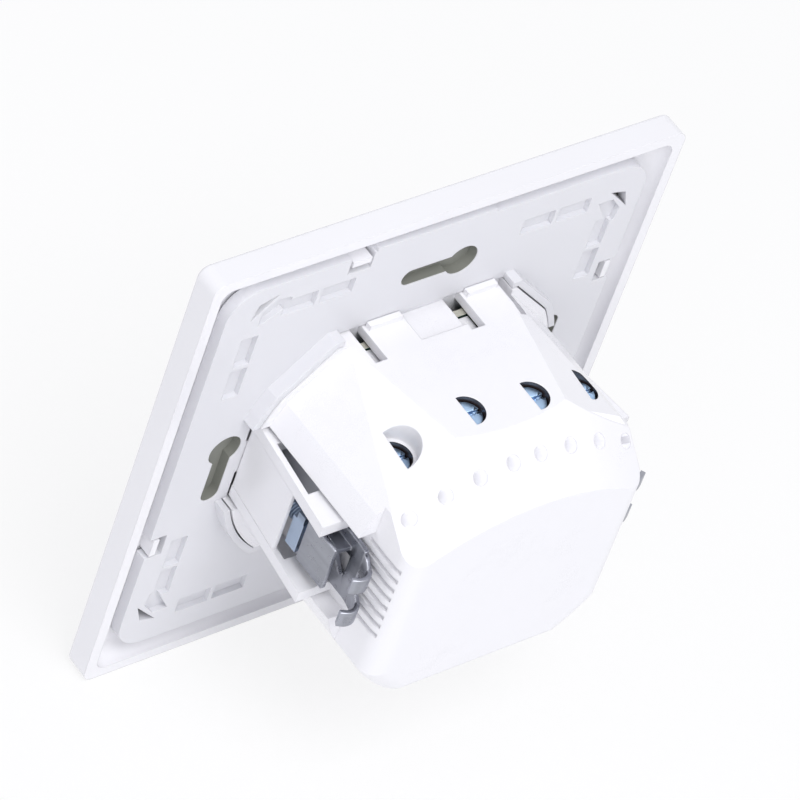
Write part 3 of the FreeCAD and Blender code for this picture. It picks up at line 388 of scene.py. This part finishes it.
def entry_painted_light():
    """Painted light: one on the walls of the wire entries, a little under the slanted face."""
    tree, start, end = shader_group(
        "entry_painted_light", [("Cone Radius", 0.0407), ("Cone Rise", 0.773), ("Cone Height", 0.0262),
                       ("Rear", 0.0343), ("Under", -0.0002), ("Front End", 0.0250),
                       ("Rear End", 0.0300), ("Half Width", 0.0216), ("Lowest", 0.006)], ["Share"])
    x, y, z = place_axes(tree)
    up = math_node(tree, "ADD", z, start.outputs["Cone Height"])
    back = math_node(tree, "SUBTRACT", start.outputs["Rear"], y)
    cone = math_node(tree, "ADD", math_node(tree, "MULTIPLY", back, start.outputs["Cone Rise"]),
                     start.outputs["Cone Radius"])
    under = math_node(tree, "LESS_THAN", math_node(tree, "SUBTRACT", radius_of(tree, x, up), cone),
                      start.outputs["Under"])
    along = within(tree, y, start.outputs["Front End"], start.outputs["Rear End"])
    aside = math_node(tree, "ABSOLUTE", x)
    across = math_node(tree, "LESS_THAN", aside, start.outputs["Half Width"])
    above = math_node(tree, "GREATER_THAN", z, start.outputs["Lowest"])
    zone = math_node(tree, "MULTIPLY", math_node(tree, "MULTIPLY", along, across), above)
    tree.links.new(math_node(tree, "MULTIPLY", under, zone), end.inputs["Share"])
    return tree


def shader_of(material):
    """The Principled shader of a material."""
    return next(n for n in material.node_tree.nodes if n.type == "BSDF_PRINCIPLED")


def masked(tree, maker, colour):
    """A colour mix towards a given colour where a node group's share says so."""
    share = tree.nodes.new("ShaderNodeGroup")
    share.node_tree = group(maker)
    mix = tree.nodes.new("ShaderNodeMix")
    mix.data_type = "RGBA"
    tree.links.new(share.outputs["Share"], mix.inputs["Factor"])
    mix.inputs["B"].default_value = (*colour, 1.0)
    return mix


def recoloured(material, maker, colour):
    """Mixes the base colour to another one where a node group says so."""
    tree = material.node_tree
    base = shader_of(material).inputs["Base Color"]
    mix = masked(tree, maker, colour)
    tree.links.new(base.links[0].from_socket, mix.inputs["A"])
    tree.links.new(mix.outputs["Result"], base)
    return material


def painted_emission(material, maker, strength):
    """Painted light: an emission on the plastic where a node group says so, standing in for light
    seeping through thin white walls.
    """
    tree = material.node_tree
    shader = shader_of(material)
    mix = masked(tree, maker, (0.95, 0.96, 1.0))
    mix.inputs["A"].default_value = (0.0, 0.0, 0.0, 1.0)
    tree.links.new(mix.outputs["Result"], shader.inputs["Emission Color"])
    shader.inputs["Emission Strength"].default_value = strength
    return material


def metal(name, colour, rough, wear=0.6, bump=0.2, streaks=900.0):
    """One metal with streaks, spots and worn edges."""
    darker, lighter, smoother, rougher, streak_height = 0.62, 1.35, 0.75, 1.4, 0.00003
    material, tree, shader = blank_material(name)
    surface = tree.nodes.new("ShaderNodeGroup")
    surface.node_tree = group(worked_metal)
    surface.inputs["Wear"].default_value = wear
    surface.inputs["Streak Scale"].default_value = streaks
    tinted(tree, shader, surface.outputs["Tone"], shade(colour, darker), shade(colour, lighter))
    spread(tree, shader, surface.outputs["Gloss"], rough * smoother, rough * rougher)
    bumped(tree, shader, surface.outputs["Height"], streak_height, bump)
    shader.inputs["Metallic"].default_value = 1.0
    return material


def laminate(name, colour):
    """Solder mask over conductor tracks."""
    over_copper, track_height, track_bump = 1.9, 0.00003, 0.4
    material, tree, shader = blank_material(name)
    lines = tree.nodes.new("ShaderNodeGroup")
    lines.node_tree = group(copper_lines)
    tinted(tree, shader, lines.outputs["Track"], colour, shade(colour, over_copper))
    bumped(tree, shader, lines.outputs["Height"], track_height, track_bump)
    shader.inputs["Roughness"].default_value = 0.32
    return material


def frosted(name, colour):
    """Frosted clear plastic that carries light."""
    material = plastic(name, colour, 0.4, grain=0.8, bump=0.3)
    shader_of(material).inputs["Transmission Weight"].default_value = 0.7
    return material


def dress(node, material):
    """A CAD node keeps its shape and gets one material."""
    mesh = nodes[node].data
    mesh.materials.clear()
    mesh.materials.append(material)


def merged_copy(node):
    """A CAD node's mesh as joined faces, ready for softer edges."""
    bm = bmesh.new()
    bm.from_mesh(nodes[node].data)
    bmesh.ops.remove_doubles(bm, verts=bm.verts, dist=0.000002)
    mesh = bpy.data.meshes.new(node + "_soft")
    bm.to_mesh(mesh)
    bm.free()
    return mesh


def add_object(name, mesh):
    """A mesh as an object of the scene."""
    piece = bpy.data.objects.new(name, mesh)
    bpy.context.scene.collection.objects.link(piece)
    return piece


def bake_modifiers(piece):
    """The piece's evaluated shape as its own plain mesh."""
    bpy.context.view_layer.update()
    graph = bpy.context.evaluated_depsgraph_get()
    done = bpy.data.meshes.new_from_object(piece.evaluated_get(graph))
    piece.modifiers.clear()
    piece.data = done
    return piece


def smooth_by_angle(mesh, angle):
    """Smooth shading with sharp edges past an angle in degrees."""
    mesh.shade_smooth()
    mesh.set_sharp_from_angle(angle=radians(angle))


def soften(node, name, width, material, body):
    """Replaces a CAD node by a copy whose sharp edges are rounded."""
    piece = add_object(name, merged_copy(node))
    bevel = piece.modifiers.new("edges", "BEVEL")
    bevel.limit_method = "ANGLE"
    bevel.angle_limit = radians(32)
    bevel.width = width
    bevel.segments = 2
    bevel.use_clamp_overlap = False
    bevel.miter_outer = "MITER_ARC"
    bake_modifiers(piece)
    smooth_by_angle(piece.data, 40)
    piece.data.materials.clear()
    piece.data.materials.append(material)
    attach(piece, body)
    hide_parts(node)


def nodes_tree(name, inputs):
    """A new geometry node group with named inputs and one mesh out."""
    tree = bpy.data.node_groups.new(name, "GeometryNodeTree")
    socket(tree, "Geometry", "OUTPUT", "NodeSocketGeometry")
    for label, kind, default in inputs:
        socket(tree, label, "INPUT", kind, default)
    return tree, tree.nodes.new("NodeGroupInput"), tree.nodes.new("NodeGroupOutput")


def finish_tree(tree, start, end, geometry):
    """Ends a geometry tree in Realize Instances and Set Material."""
    real = tree.nodes.new("GeometryNodeRealizeInstances")
    paint = tree.nodes.new("GeometryNodeSetMaterial")
    tree.links.new(geometry, real.inputs["Geometry"])
    tree.links.new(real.outputs["Geometry"], paint.inputs["Geometry"])
    tree.links.new(start.outputs["Material"], paint.inputs["Material"])
    tree.links.new(paint.outputs["Geometry"], end.inputs["Geometry"])
    return tree


def grow(name, tree, values):
    """Runs a geometry tree with named values and keeps its result as a plain mesh."""
    piece = add_object(name, bpy.data.meshes.new(name))
    modifier = piece.modifiers.new("build", "NODES")
    modifier.node_group = tree
    keys = {item.name: item.identifier for item in tree.interface.items_tree
            if item.in_out == "INPUT"}
    for label, value in values.items():
        modifier[keys[label]] = value
    return bake_modifiers(piece)


def thread_tree():
    """A V thread as a helix along +Y from a given start."""
    tree, start, end = nodes_tree("screw_thread", [
        ("Turns", "NodeSocketFloat", 10.0), ("Pitch", "NodeSocketFloat", 0.0005),
        ("Crest", "NodeSocketFloat", 0.00145), ("Depth", "NodeSocketFloat", 0.0002),
        ("Start", "NodeSocketVector", (0.0, 0.0, 0.0)), ("Material", "NodeSocketMaterial", None)])
    spiral = tree.nodes.new("GeometryNodeCurveSpiral")
    spiral.inputs["Resolution"].default_value = 20
    root = math_node(tree, "SUBTRACT", start.outputs["Crest"], start.outputs["Depth"])
    rise = math_node(tree, "MULTIPLY", start.outputs["Turns"], start.outputs["Pitch"])
    for value, key in ((start.outputs["Turns"], "Rotations"), (root, "Start Radius"),
                       (root, "End Radius"), (rise, "Height")):
        tree.links.new(value, spiral.inputs[key])
    profile = tree.nodes.new("GeometryNodeCurvePrimitiveCircle")
    profile.inputs["Resolution"].default_value = 4
    tree.links.new(start.outputs["Depth"], profile.inputs["Radius"])
    sweep = tree.nodes.new("GeometryNodeCurveToMesh")
    sweep.inputs["Fill Caps"].default_value = True
    tree.links.new(spiral.outputs["Curve"], sweep.inputs["Curve"])
    tree.links.new(profile.outputs["Curve"], sweep.inputs["Profile Curve"])
    turn = tree.nodes.new("GeometryNodeTransform")
    turn.inputs["Rotation"].default_value = Euler((radians(-90), 0, 0))
    tree.links.new(sweep.outputs["Mesh"], turn.inputs["Geometry"])
    tree.links.new(start.outputs["Start"], turn.inputs["Translation"])
    return finish_tree(tree, start, end, turn.outputs["Geometry"])


def rows_tree():
    """Small domes or blocks in rows on a board: a grid of instances at a given height."""
    tree, start, end = nodes_tree("board_rows", [
        ("Columns", "NodeSocketInt", 6), ("Rows", "NodeSocketInt", 2),
        ("Wide", "NodeSocketFloat", 0.02), ("High", "NodeSocketFloat", 0.004),
        ("Part Size", "NodeSocketVector", (0.0006, 0.0004, 0.0006)),
        ("Centre", "NodeSocketVector", (0.0, 0.0, 0.0)), ("Round", "NodeSocketBool", False),
        ("Material", "NodeSocketMaterial", None)])
    grid = tree.nodes.new("GeometryNodeMeshGrid")
    for label, key in (("Wide", "Size X"), ("High", "Size Y"), ("Columns", "Vertices X"),
                       ("Rows", "Vertices Y")):
        tree.links.new(start.outputs[label], grid.inputs[key])
    block = tree.nodes.new("GeometryNodeMeshCube")
    ball = tree.nodes.new("GeometryNodeMeshUVSphere")
    ball.inputs["Segments"].default_value = 12
    ball.inputs["Rings"].default_value = 8
    ball.inputs["Radius"].default_value = 0.5
    pick = tree.nodes.new("GeometryNodeSwitch")
    pick.input_type = "GEOMETRY"
    tree.links.new(start.outputs["Round"], pick.inputs["Switch"])
    tree.links.new(block.outputs["Mesh"], pick.inputs["False"])
    tree.links.new(ball.outputs["Mesh"], pick.inputs["True"])
    stand = tree.nodes.new("GeometryNodeTransform")
    stand.inputs["Rotation"].default_value = Euler((radians(90), 0, 0))
    tree.links.new(grid.outputs["Mesh"], stand.inputs["Geometry"])
    tree.links.new(start.outputs["Centre"], stand.inputs["Translation"])
    put = tree.nodes.new("GeometryNodeInstanceOnPoints")
    tree.links.new(stand.outputs["Geometry"], put.inputs["Points"])
    tree.links.new(pick.outputs["Output"], put.inputs["Instance"])
    tree.links.new(start.outputs["Part Size"], put.inputs["Scale"])
    return finish_tree(tree, start, end, put.outputs["Instances"])


def revolve(profile, centre):
    """A closed solid turned about a line along Y: (radius, distance) pairs from tip to tip."""
    bm = bmesh.new()
    rings = []
    steps = 40
    side, up, along = Vector((1, 0, 0)), Vector((0, 0, 1)), Vector((0, 1, 0))
    for radius, distance in profile:
        base = centre + along * distance
        if radius < 1e-7:
            rings.append([bm.verts.new(base)])
            continue
        turns = [2 * pi * i / steps for i in range(steps)]
        rings.append([bm.verts.new(base + side * (radius * cos(turn)) + up * (radius * sin(turn)))
                      for turn in turns])
    for low, high in zip(rings[:-1], rings[1:]):
        for i in range(steps):
            j = (i + 1) % steps
            if len(low) == 1:
                bm.faces.new((low[0], high[i], high[j]))
            elif len(high) == 1:
                bm.faces.new((low[i], low[j], high[0]))
            else:
                bm.faces.new((low[i], low[j], high[j], high[i]))
    bmesh.ops.recalc_face_normals(bm, faces=bm.faces)
    return bm


def bolt_profile(front, head_end, end, head_r, core):
    """The outline of a claw screw: a domed head with a dimple, and a shank with a tapered end."""
    dimple, rim, side = 0.0009, 0.0002, 0.0007
    fillet, tip = 0.00004, 0.0004
    return [(0.0, front + dimple), (head_r * 0.16, front + dimple), (head_r * 0.5, front),
            (head_r * 0.86, front + rim), (head_r, front + side), (head_r, head_end),
            (core, head_end + fillet), (core, end - tip), (core * 0.7, end), (0.0, end)]


def thin_plate(low, high):
    """A box between two corners."""
    bm = bmesh.new()
    bmesh.ops.create_cube(bm, size=1.0)
    for vert in bm.verts:
        vert.co = Vector([a if c < 0 else b for a, b, c in zip(low, high, vert.co)])
    mesh = bpy.data.meshes.new("thin_plate")
    bm.to_mesh(mesh)
    bm.free()
    return mesh


def settings():
    """The three property groups of the scene."""
    scene = bpy.context.scene
    return scene.dimmer_finish, scene.dimmer_sizes, scene.dimmer_stage


class DIMMER_OT_cover_plate(Operator):
    """Glossy white of the cover plate and grey green of the seal sheet behind it"""

    bl_idname = "dimmer.cover_plate"
    bl_label = "Cover Plate"

    def execute(self, context):
        finish, sizes, _ = settings()
        white = plastic("plate_plastic", finish.plate, 0.22, edge=sizes.plate_edge, grain=0.15,
                        bump=0.03, coat=0.3)
        dress("cover_plate", white)
        dress("backing_sheet", plastic("seal_sheet", finish.sheet, 0.6, grain=0.5))
        return {"FINISHED"}


class DIMMER_OT_support_frame(Operator):
    """Satin grey of the support frame with painted shadow on its keyhole slots' walls, and the thin
    films across its slots
    """

    bl_idname = "dimmer.support_frame"
    bl_label = "Support Frame"

    def execute(self, context):
        finish, sizes, _ = settings()
        grey = plastic("frame_plastic", finish.support, 0.42, edge=sizes.frame_edge, grain=0.7,
                       bump=0.08, depth=0.15)
        # Painted shadow: a darkened seal-sheet grey on the keyhole slots' side walls; the films
        # across the slots take the same colour.
        dark = shade(finish.sheet, 0.9)
        dress("support_frame", recoloured(grey, slot_shadow, dark))
        film = plastic("slot_film", dark, 0.6, grain=0.5)
        near, far, half = 0.0271, 0.0331, 0.0087
        y0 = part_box("support_frame")[0].y + sizes.film_inset
        y1 = y0 + sizes.film_thick
        spans = {"top": (-half, half, near, far), "bottom": (-half, half, -far, -near),
                 "right": (near, far, -half, half), "left": (-far, -near, -half, half)}
        for side, (x0, x1, z0, z1) in spans.items():
            piece = add_object("slot_film_" + side, thin_plate((x0, y0, z0), (x1, y1, z1)))
            piece.data.materials.append(film)
            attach(piece, "insert")
        return {"FINISHED"}


class DIMMER_OT_housing(Operator):
    """White of the housing with painted shade in its wells and painted light in its wire entries,
    and the shields inside its snap tongues
    """

    bl_idname = "dimmer.housing"
    bl_label = "Housing"

    def execute(self, context):
        finish, sizes, _ = settings()
        white = plastic("housing_plastic", finish.housing, 0.30, edge=sizes.housing_edge, grain=0.3,
                        bump=0.03, coat=0.15)
        # Painted shade on the wells' walls, and painted light as an emission on the wire entries'
        # walls.
        recoloured(white, well_painted_shade, finish.shade)
        dress("housing", painted_emission(white, entry_painted_light, sizes.painted_light_strength))
        x0, x1 = -0.0079, 0.0132
        y0, y1 = 0.0023, 0.0066
        for place, low in (("top", 0.01935), ("bottom", -0.01845)):
            mesh = thin_plate((x0, y0, low), (x1, y1, low + sizes.shield_thick))
            shield = add_object("slot_shield_" + place, mesh)
            shield.data.materials.append(white)
            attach(shield, "insert")
        return {"FINISHED"}


class DIMMER_OT_claws(Operator):
    """Both claws, their threaded plates and their screws with real threads"""

    bl_idname = "dimmer.claws"
    bl_label = "Claws"

    def execute(self, context):
        finish, sizes, _ = settings()
        steel = metal("claw_steel", finish.steel, 0.30, wear=0.8)
        zinc = metal("zinc_steel", finish.zinc, 0.36, wear=0.5, streaks=500.0)
        tree = thread_tree()
        end_gap = 0.0003
        for side in ("right", "left"):
            soften("claw_" + side, "claw_sheet_" + side, sizes.metal_edge * 2, steel,
                   "claw_" + side)
            dress("claw_nut_" + side, zinc)
            low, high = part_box("claw_screw_" + side)
            middle = Vector(((low.x + high.x) / 2, 0.0, (low.z + high.z) / 2))
            head_end = low.y + sizes.bolt_head
            profile = bolt_profile(low.y, head_end, high.y, (high.x - low.x) / 2,
                                   sizes.crest - sizes.depth)
            mesh = bpy.data.meshes.new("claw_bolt")
            bm = revolve(profile, middle)
            bm.to_mesh(mesh)
            bm.free()
            mesh.materials.append(zinc)
            smooth_by_angle(mesh, 35)
            bolt = add_object("claw_bolt_" + side, mesh)
            start = head_end + sizes.bolt_plain
            turns = (high.y - end_gap - start) / sizes.pitch
            thread = grow("claw_thread_" + side, tree, {
                "Turns": turns, "Pitch": sizes.pitch, "Crest": sizes.crest, "Depth": sizes.depth,
                "Start": (middle.x, start, middle.z), "Material": zinc})
            for piece in (bolt, thread):
                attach(piece, "claw_screw_" + side)
            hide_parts("claw_screw_" + side)
        return {"FINISHED"}


class DIMMER_OT_terminals(Operator):
    """Screws, clamps and contact bars of the four wire terminals"""

    bl_idname = "dimmer.terminals"
    bl_label = "Terminals"

    def execute(self, context):
        finish, sizes, _ = settings()
        zinc = metal("terminal_zinc", finish.blue, 0.42, wear=0.7, streaks=500.0)
        nickel = metal("clamp_steel", finish.nickel, 0.38, wear=0.5)
        brass = metal("contact_brass", finish.brass, 0.35)
        for number in range(1, 5):
            soften("terminal_screw_%d" % number, "terminal_bolt_%d" % number, sizes.metal_edge * 2,
                   zinc, "terminal_screw_%d" % number)
            dress("terminal_clamp_%d" % number, nickel)
        dress("contact_bars", brass)
        return {"FINISHED"}


class DIMMER_OT_front_parts(Operator):
    """The rocker, its ring of light, the lid and the key switches"""

    bl_idname = "dimmer.front_parts"
    bl_label = "Front Parts"

    def execute(self, context):
        finish, sizes, _ = settings()
        key = plastic("rocker_plastic", finish.key, 0.24, edge=sizes.plate_edge, grain=0.15,
                      bump=0.06, coat=0.3)
        dress("rocker_button", key)
        dress("light_guide", frosted("guide_plastic", finish.guide))
        dress("front_cover", plastic("lid_plastic", shade(finish.support, 1.1), 0.45, grain=0.7))
        black = plastic("switch_plastic", (0.02, 0.02, 0.022), 0.4)
        cream = plastic("stem_plastic", (0.55, 0.52, 0.45), 0.35)
        for place in ("top", "bottom"):
            dress("switch_body_" + place, black)
            dress("switch_stem_" + place, cream)
        steel = metal("small_screw_steel", shade(finish.steel, 0.8), 0.35)
        for name in ("board_screws", "cover_screws", "stay_screws"):
            dress(name, steel)
        return {"FINISHED"}


class DIMMER_OT_boards(Operator):
    """Both circuit boards and the parts that they carry"""

    bl_idname = "dimmer.boards"
    bl_label = "Boards"

    def execute(self, context):
        finish, sizes, _ = settings()
        mask = recoloured(laminate("board_mask", finish.laminate), cut_edges, finish.core)
        dress("control_board", mask)
        dress("power_board", mask)
        looks = {
            "ring_lamps": plastic("lamp_plastic", (0.80, 0.80, 0.66), 0.3),
            "radio_module": metal("shield_metal", (0.55, 0.55, 0.54), 0.4),
            "radio_aerial": metal("aerial_copper", (0.62, 0.28, 0.12), 0.3),
            "pin_header": plastic("header_plastic", (0.02, 0.02, 0.02), 0.45),
            "heat_plate": metal("heat_aluminium", (0.62, 0.63, 0.65), 0.45),
            "power_transistors": plastic("package_plastic", (0.025, 0.025, 0.027), 0.5, grain=0.9),
            "supply_capacitor": plastic("sleeve_plastic", (0.03, 0.035, 0.07), 0.3),
            "film_capacitor": plastic("film_plastic", (0.60, 0.50, 0.05), 0.35),
            "ring_choke": metal("winding_copper", (0.50, 0.20, 0.08), 0.35),
            "wire_fuse": plastic("fuse_lacquer", (0.25, 0.06, 0.03), 0.3),
            "surge_disc": plastic("disc_lacquer", (0.02, 0.09, 0.32), 0.35),
        }
        for node, material in looks.items():
            dress(node, material)
        tree = rows_tree()
        solder = metal("solder_tin", (0.60, 0.60, 0.62), 0.25)
        chip = plastic("chip_plastic", (0.02, 0.02, 0.022), 0.45, grain=0.8)
        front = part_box("power_board")[0].y
        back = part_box("control_board")[1].y
        chip_rise = 0.0003
        joints = {"Columns": sizes.chips + 3, "Rows": 2, "Wide": 0.030, "High": 0.004,
                  "Part Size": (0.0009, 0.0007, 0.0009), "Centre": (0.0, front, 0.0115),
                  "Round": True, "Material": solder}
        chips = {"Columns": 2, "Rows": sizes.chips, "Wide": 0.003, "High": 0.012,
                 "Part Size": (0.0016, 0.0007, 0.0008), "Centre": (0.0105, back + chip_rise, 0.0),
                 "Round": False, "Material": chip}
        for name, values, slot in (("solder_joints", joints, "screw_steel"),
                                   ("board_chips", chips, "switch_plastic")):
            piece = grow(name, tree, values)
            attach(piece, "insert")
        return {"FINISHED"}


class DIMMER_OT_stage(Operator):
    """Camera, lamps, floor and the white surroundings"""

    bl_idname = "dimmer.stage"
    bl_label = "Stage"

    def execute(self, context):
        _, _, stage = settings()
        scene = context.scene
        scene.view_settings.view_transform = "Standard"
        make_camera(scene, stage.lens)
        make_floor(stage)
        make_world(scene, stage.ambient)
        make_lamp("key_lamp", place=(0.10, 0.45, 0.85), size=0.55, power=stage.key_power)
        make_lamp("fill_lamp", place=(0.75, 0.55, 0.35), size=0.5, power=stage.fill_power)
        return {"FINISHED"}


def make_camera(scene, lens):
    """The camera at the photograph's place, rolled as the photograph is."""
    data = bpy.data.cameras.new("camera")
    data.lens = lens
    data.sensor_width = 36.0
    data.clip_start = 0.01
    camera = bpy.data.objects.new("camera", data)
    scene.collection.objects.link(camera)
    right = Vector((-0.78745, 0.56193, 0.25331))
    up = Vector((-0.27814, -0.69069, 0.66753))
    back = Vector((0.55006, 0.45518, 0.70017))
    place = Vector((0.51788, 0.43102, 0.66371))
    turn = Matrix((right, up, back)).transposed().to_4x4()
    camera.matrix_world = Matrix.Translation(place) @ turn
    scene.camera = camera


def make_floor(stage):
    """A pale floor that stays white to the camera and still shows a soft shadow."""
    size, gap, whitening = 3.0, 0.0001, 0.8
    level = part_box("cover_plate")[0].z - gap
    mesh = bpy.data.meshes.new("floor")
    mesh.from_pydata([(-size, -size, level), (size, -size, level), (size, size, level),
                      (-size, size, level)], [], [(0, 1, 2, 3)])
    floor = add_object("floor", mesh)
    material, tree, shader = blank_material("pale_floor")
    shader.inputs["Base Color"].default_value = (*stage.floor, 1.0)
    shader.inputs["Roughness"].default_value = 0.7
    glow = tree.nodes.new("ShaderNodeEmission")
    rays = tree.nodes.new("ShaderNodeLightPath")
    seen = math_node(tree, "MAXIMUM", rays.outputs["Is Camera Ray"], rays.outputs["Is Glossy Ray"])
    share = math_node(tree, "MULTIPLY", seen, whitening)
    mix = tree.nodes.new("ShaderNodeMixShader")
    tree.links.new(share, mix.inputs["Fac"])
    tree.links.new(shader.outputs["BSDF"], mix.inputs[1])
    tree.links.new(glow.outputs["Emission"], mix.inputs[2])
    end = next(n for n in tree.nodes if n.type == "OUTPUT_MATERIAL")
    tree.links.new(mix.outputs["Shader"], end.inputs["Surface"])
    mesh.materials.append(material)


def make_world(scene, ambient):
    """White to the camera and in reflections, and a soft even light otherwise."""
    world = bpy.data.worlds.new("surroundings")
    world.use_nodes = True
    tree = world.node_tree
    tree.nodes.clear()
    rays = tree.nodes.new("ShaderNodeLightPath")
    seen = math_node(tree, "MAXIMUM", rays.outputs["Is Camera Ray"],
                     math_node(tree, "MAXIMUM", rays.outputs["Is Glossy Ray"],
                               rays.outputs["Is Transmission Ray"]))
    mix = tree.nodes.new("ShaderNodeMixShader")
    end = tree.nodes.new("ShaderNodeOutputWorld")
    tree.links.new(seen, mix.inputs["Fac"])
    for i, (colour, strength) in enumerate((((0.93, 0.94, 1.0, 1.0), ambient),
                                            ((1.0, 1.0, 1.0, 1.0), 1.0)), start=1):
        light = tree.nodes.new("ShaderNodeBackground")
        light.inputs["Color"].default_value = colour
        light.inputs["Strength"].default_value = strength
        tree.links.new(light.outputs["Background"], mix.inputs[i])
    tree.links.new(mix.outputs["Shader"], end.inputs["Surface"])
    scene.world = world


def make_lamp(name, place, size, power):
    """One square soft lamp aimed at the object's middle."""
    data = bpy.data.lights.new(name, "AREA")
    data.size = size
    data.energy = power
    lamp = bpy.data.objects.new(name, data)
    bpy.context.scene.collection.objects.link(lamp)
    away = Vector(place)
    lamp.matrix_world = Matrix.Translation(away) @ away.to_track_quat("Z", "Y").to_matrix().to_4x4()


class DIMMER_PT_panel(Panel):
    """Sidebar panel that lists the sizes, colours and steps"""

    bl_label = "Flush Wall Dimmer"
    bl_idname = "DIMMER_PT_panel"
    bl_space_type = "VIEW_3D"
    bl_region_type = "UI"
    bl_category = "Dimmer"

    def draw(self, context):
        for step in steps:
            self.layout.operator(step.bl_idname)
        for part in settings():
            box = self.layout.box()
            for key in part.__annotations__:
                box.prop(part, key)


steps = [DIMMER_OT_cover_plate, DIMMER_OT_support_frame, DIMMER_OT_housing, DIMMER_OT_claws,
         DIMMER_OT_terminals, DIMMER_OT_front_parts, DIMMER_OT_boards, DIMMER_OT_stage]
classes = [DimmerFinish, DimmerSizes, DimmerStage] + steps + [DIMMER_PT_panel]


def register():
    """Adds the classes and the scene's settings."""
    for cls in classes:
        bpy.utils.register_class(cls)
    bpy.types.Scene.dimmer_finish = PointerProperty(type=DimmerFinish)
    bpy.types.Scene.dimmer_sizes = PointerProperty(type=DimmerSizes)
    bpy.types.Scene.dimmer_stage = PointerProperty(type=DimmerStage)


def unregister():
    """Takes the classes and the scene's settings away again."""
    del bpy.types.Scene.dimmer_stage
    del bpy.types.Scene.dimmer_sizes
    del bpy.types.Scene.dimmer_finish
    for cls in reversed(classes):
        bpy.utils.unregister_class(cls)


def main():
    """Builds every piece and the stage."""
    register()
    ops = bpy.ops.dimmer
    ops.cover_plate()
    ops.support_frame()
    ops.housing()
    ops.claws()
    ops.terminals()
    ops.front_parts()
    ops.boards()
    ops.stage()


if __name__ == "__main__":
    main()
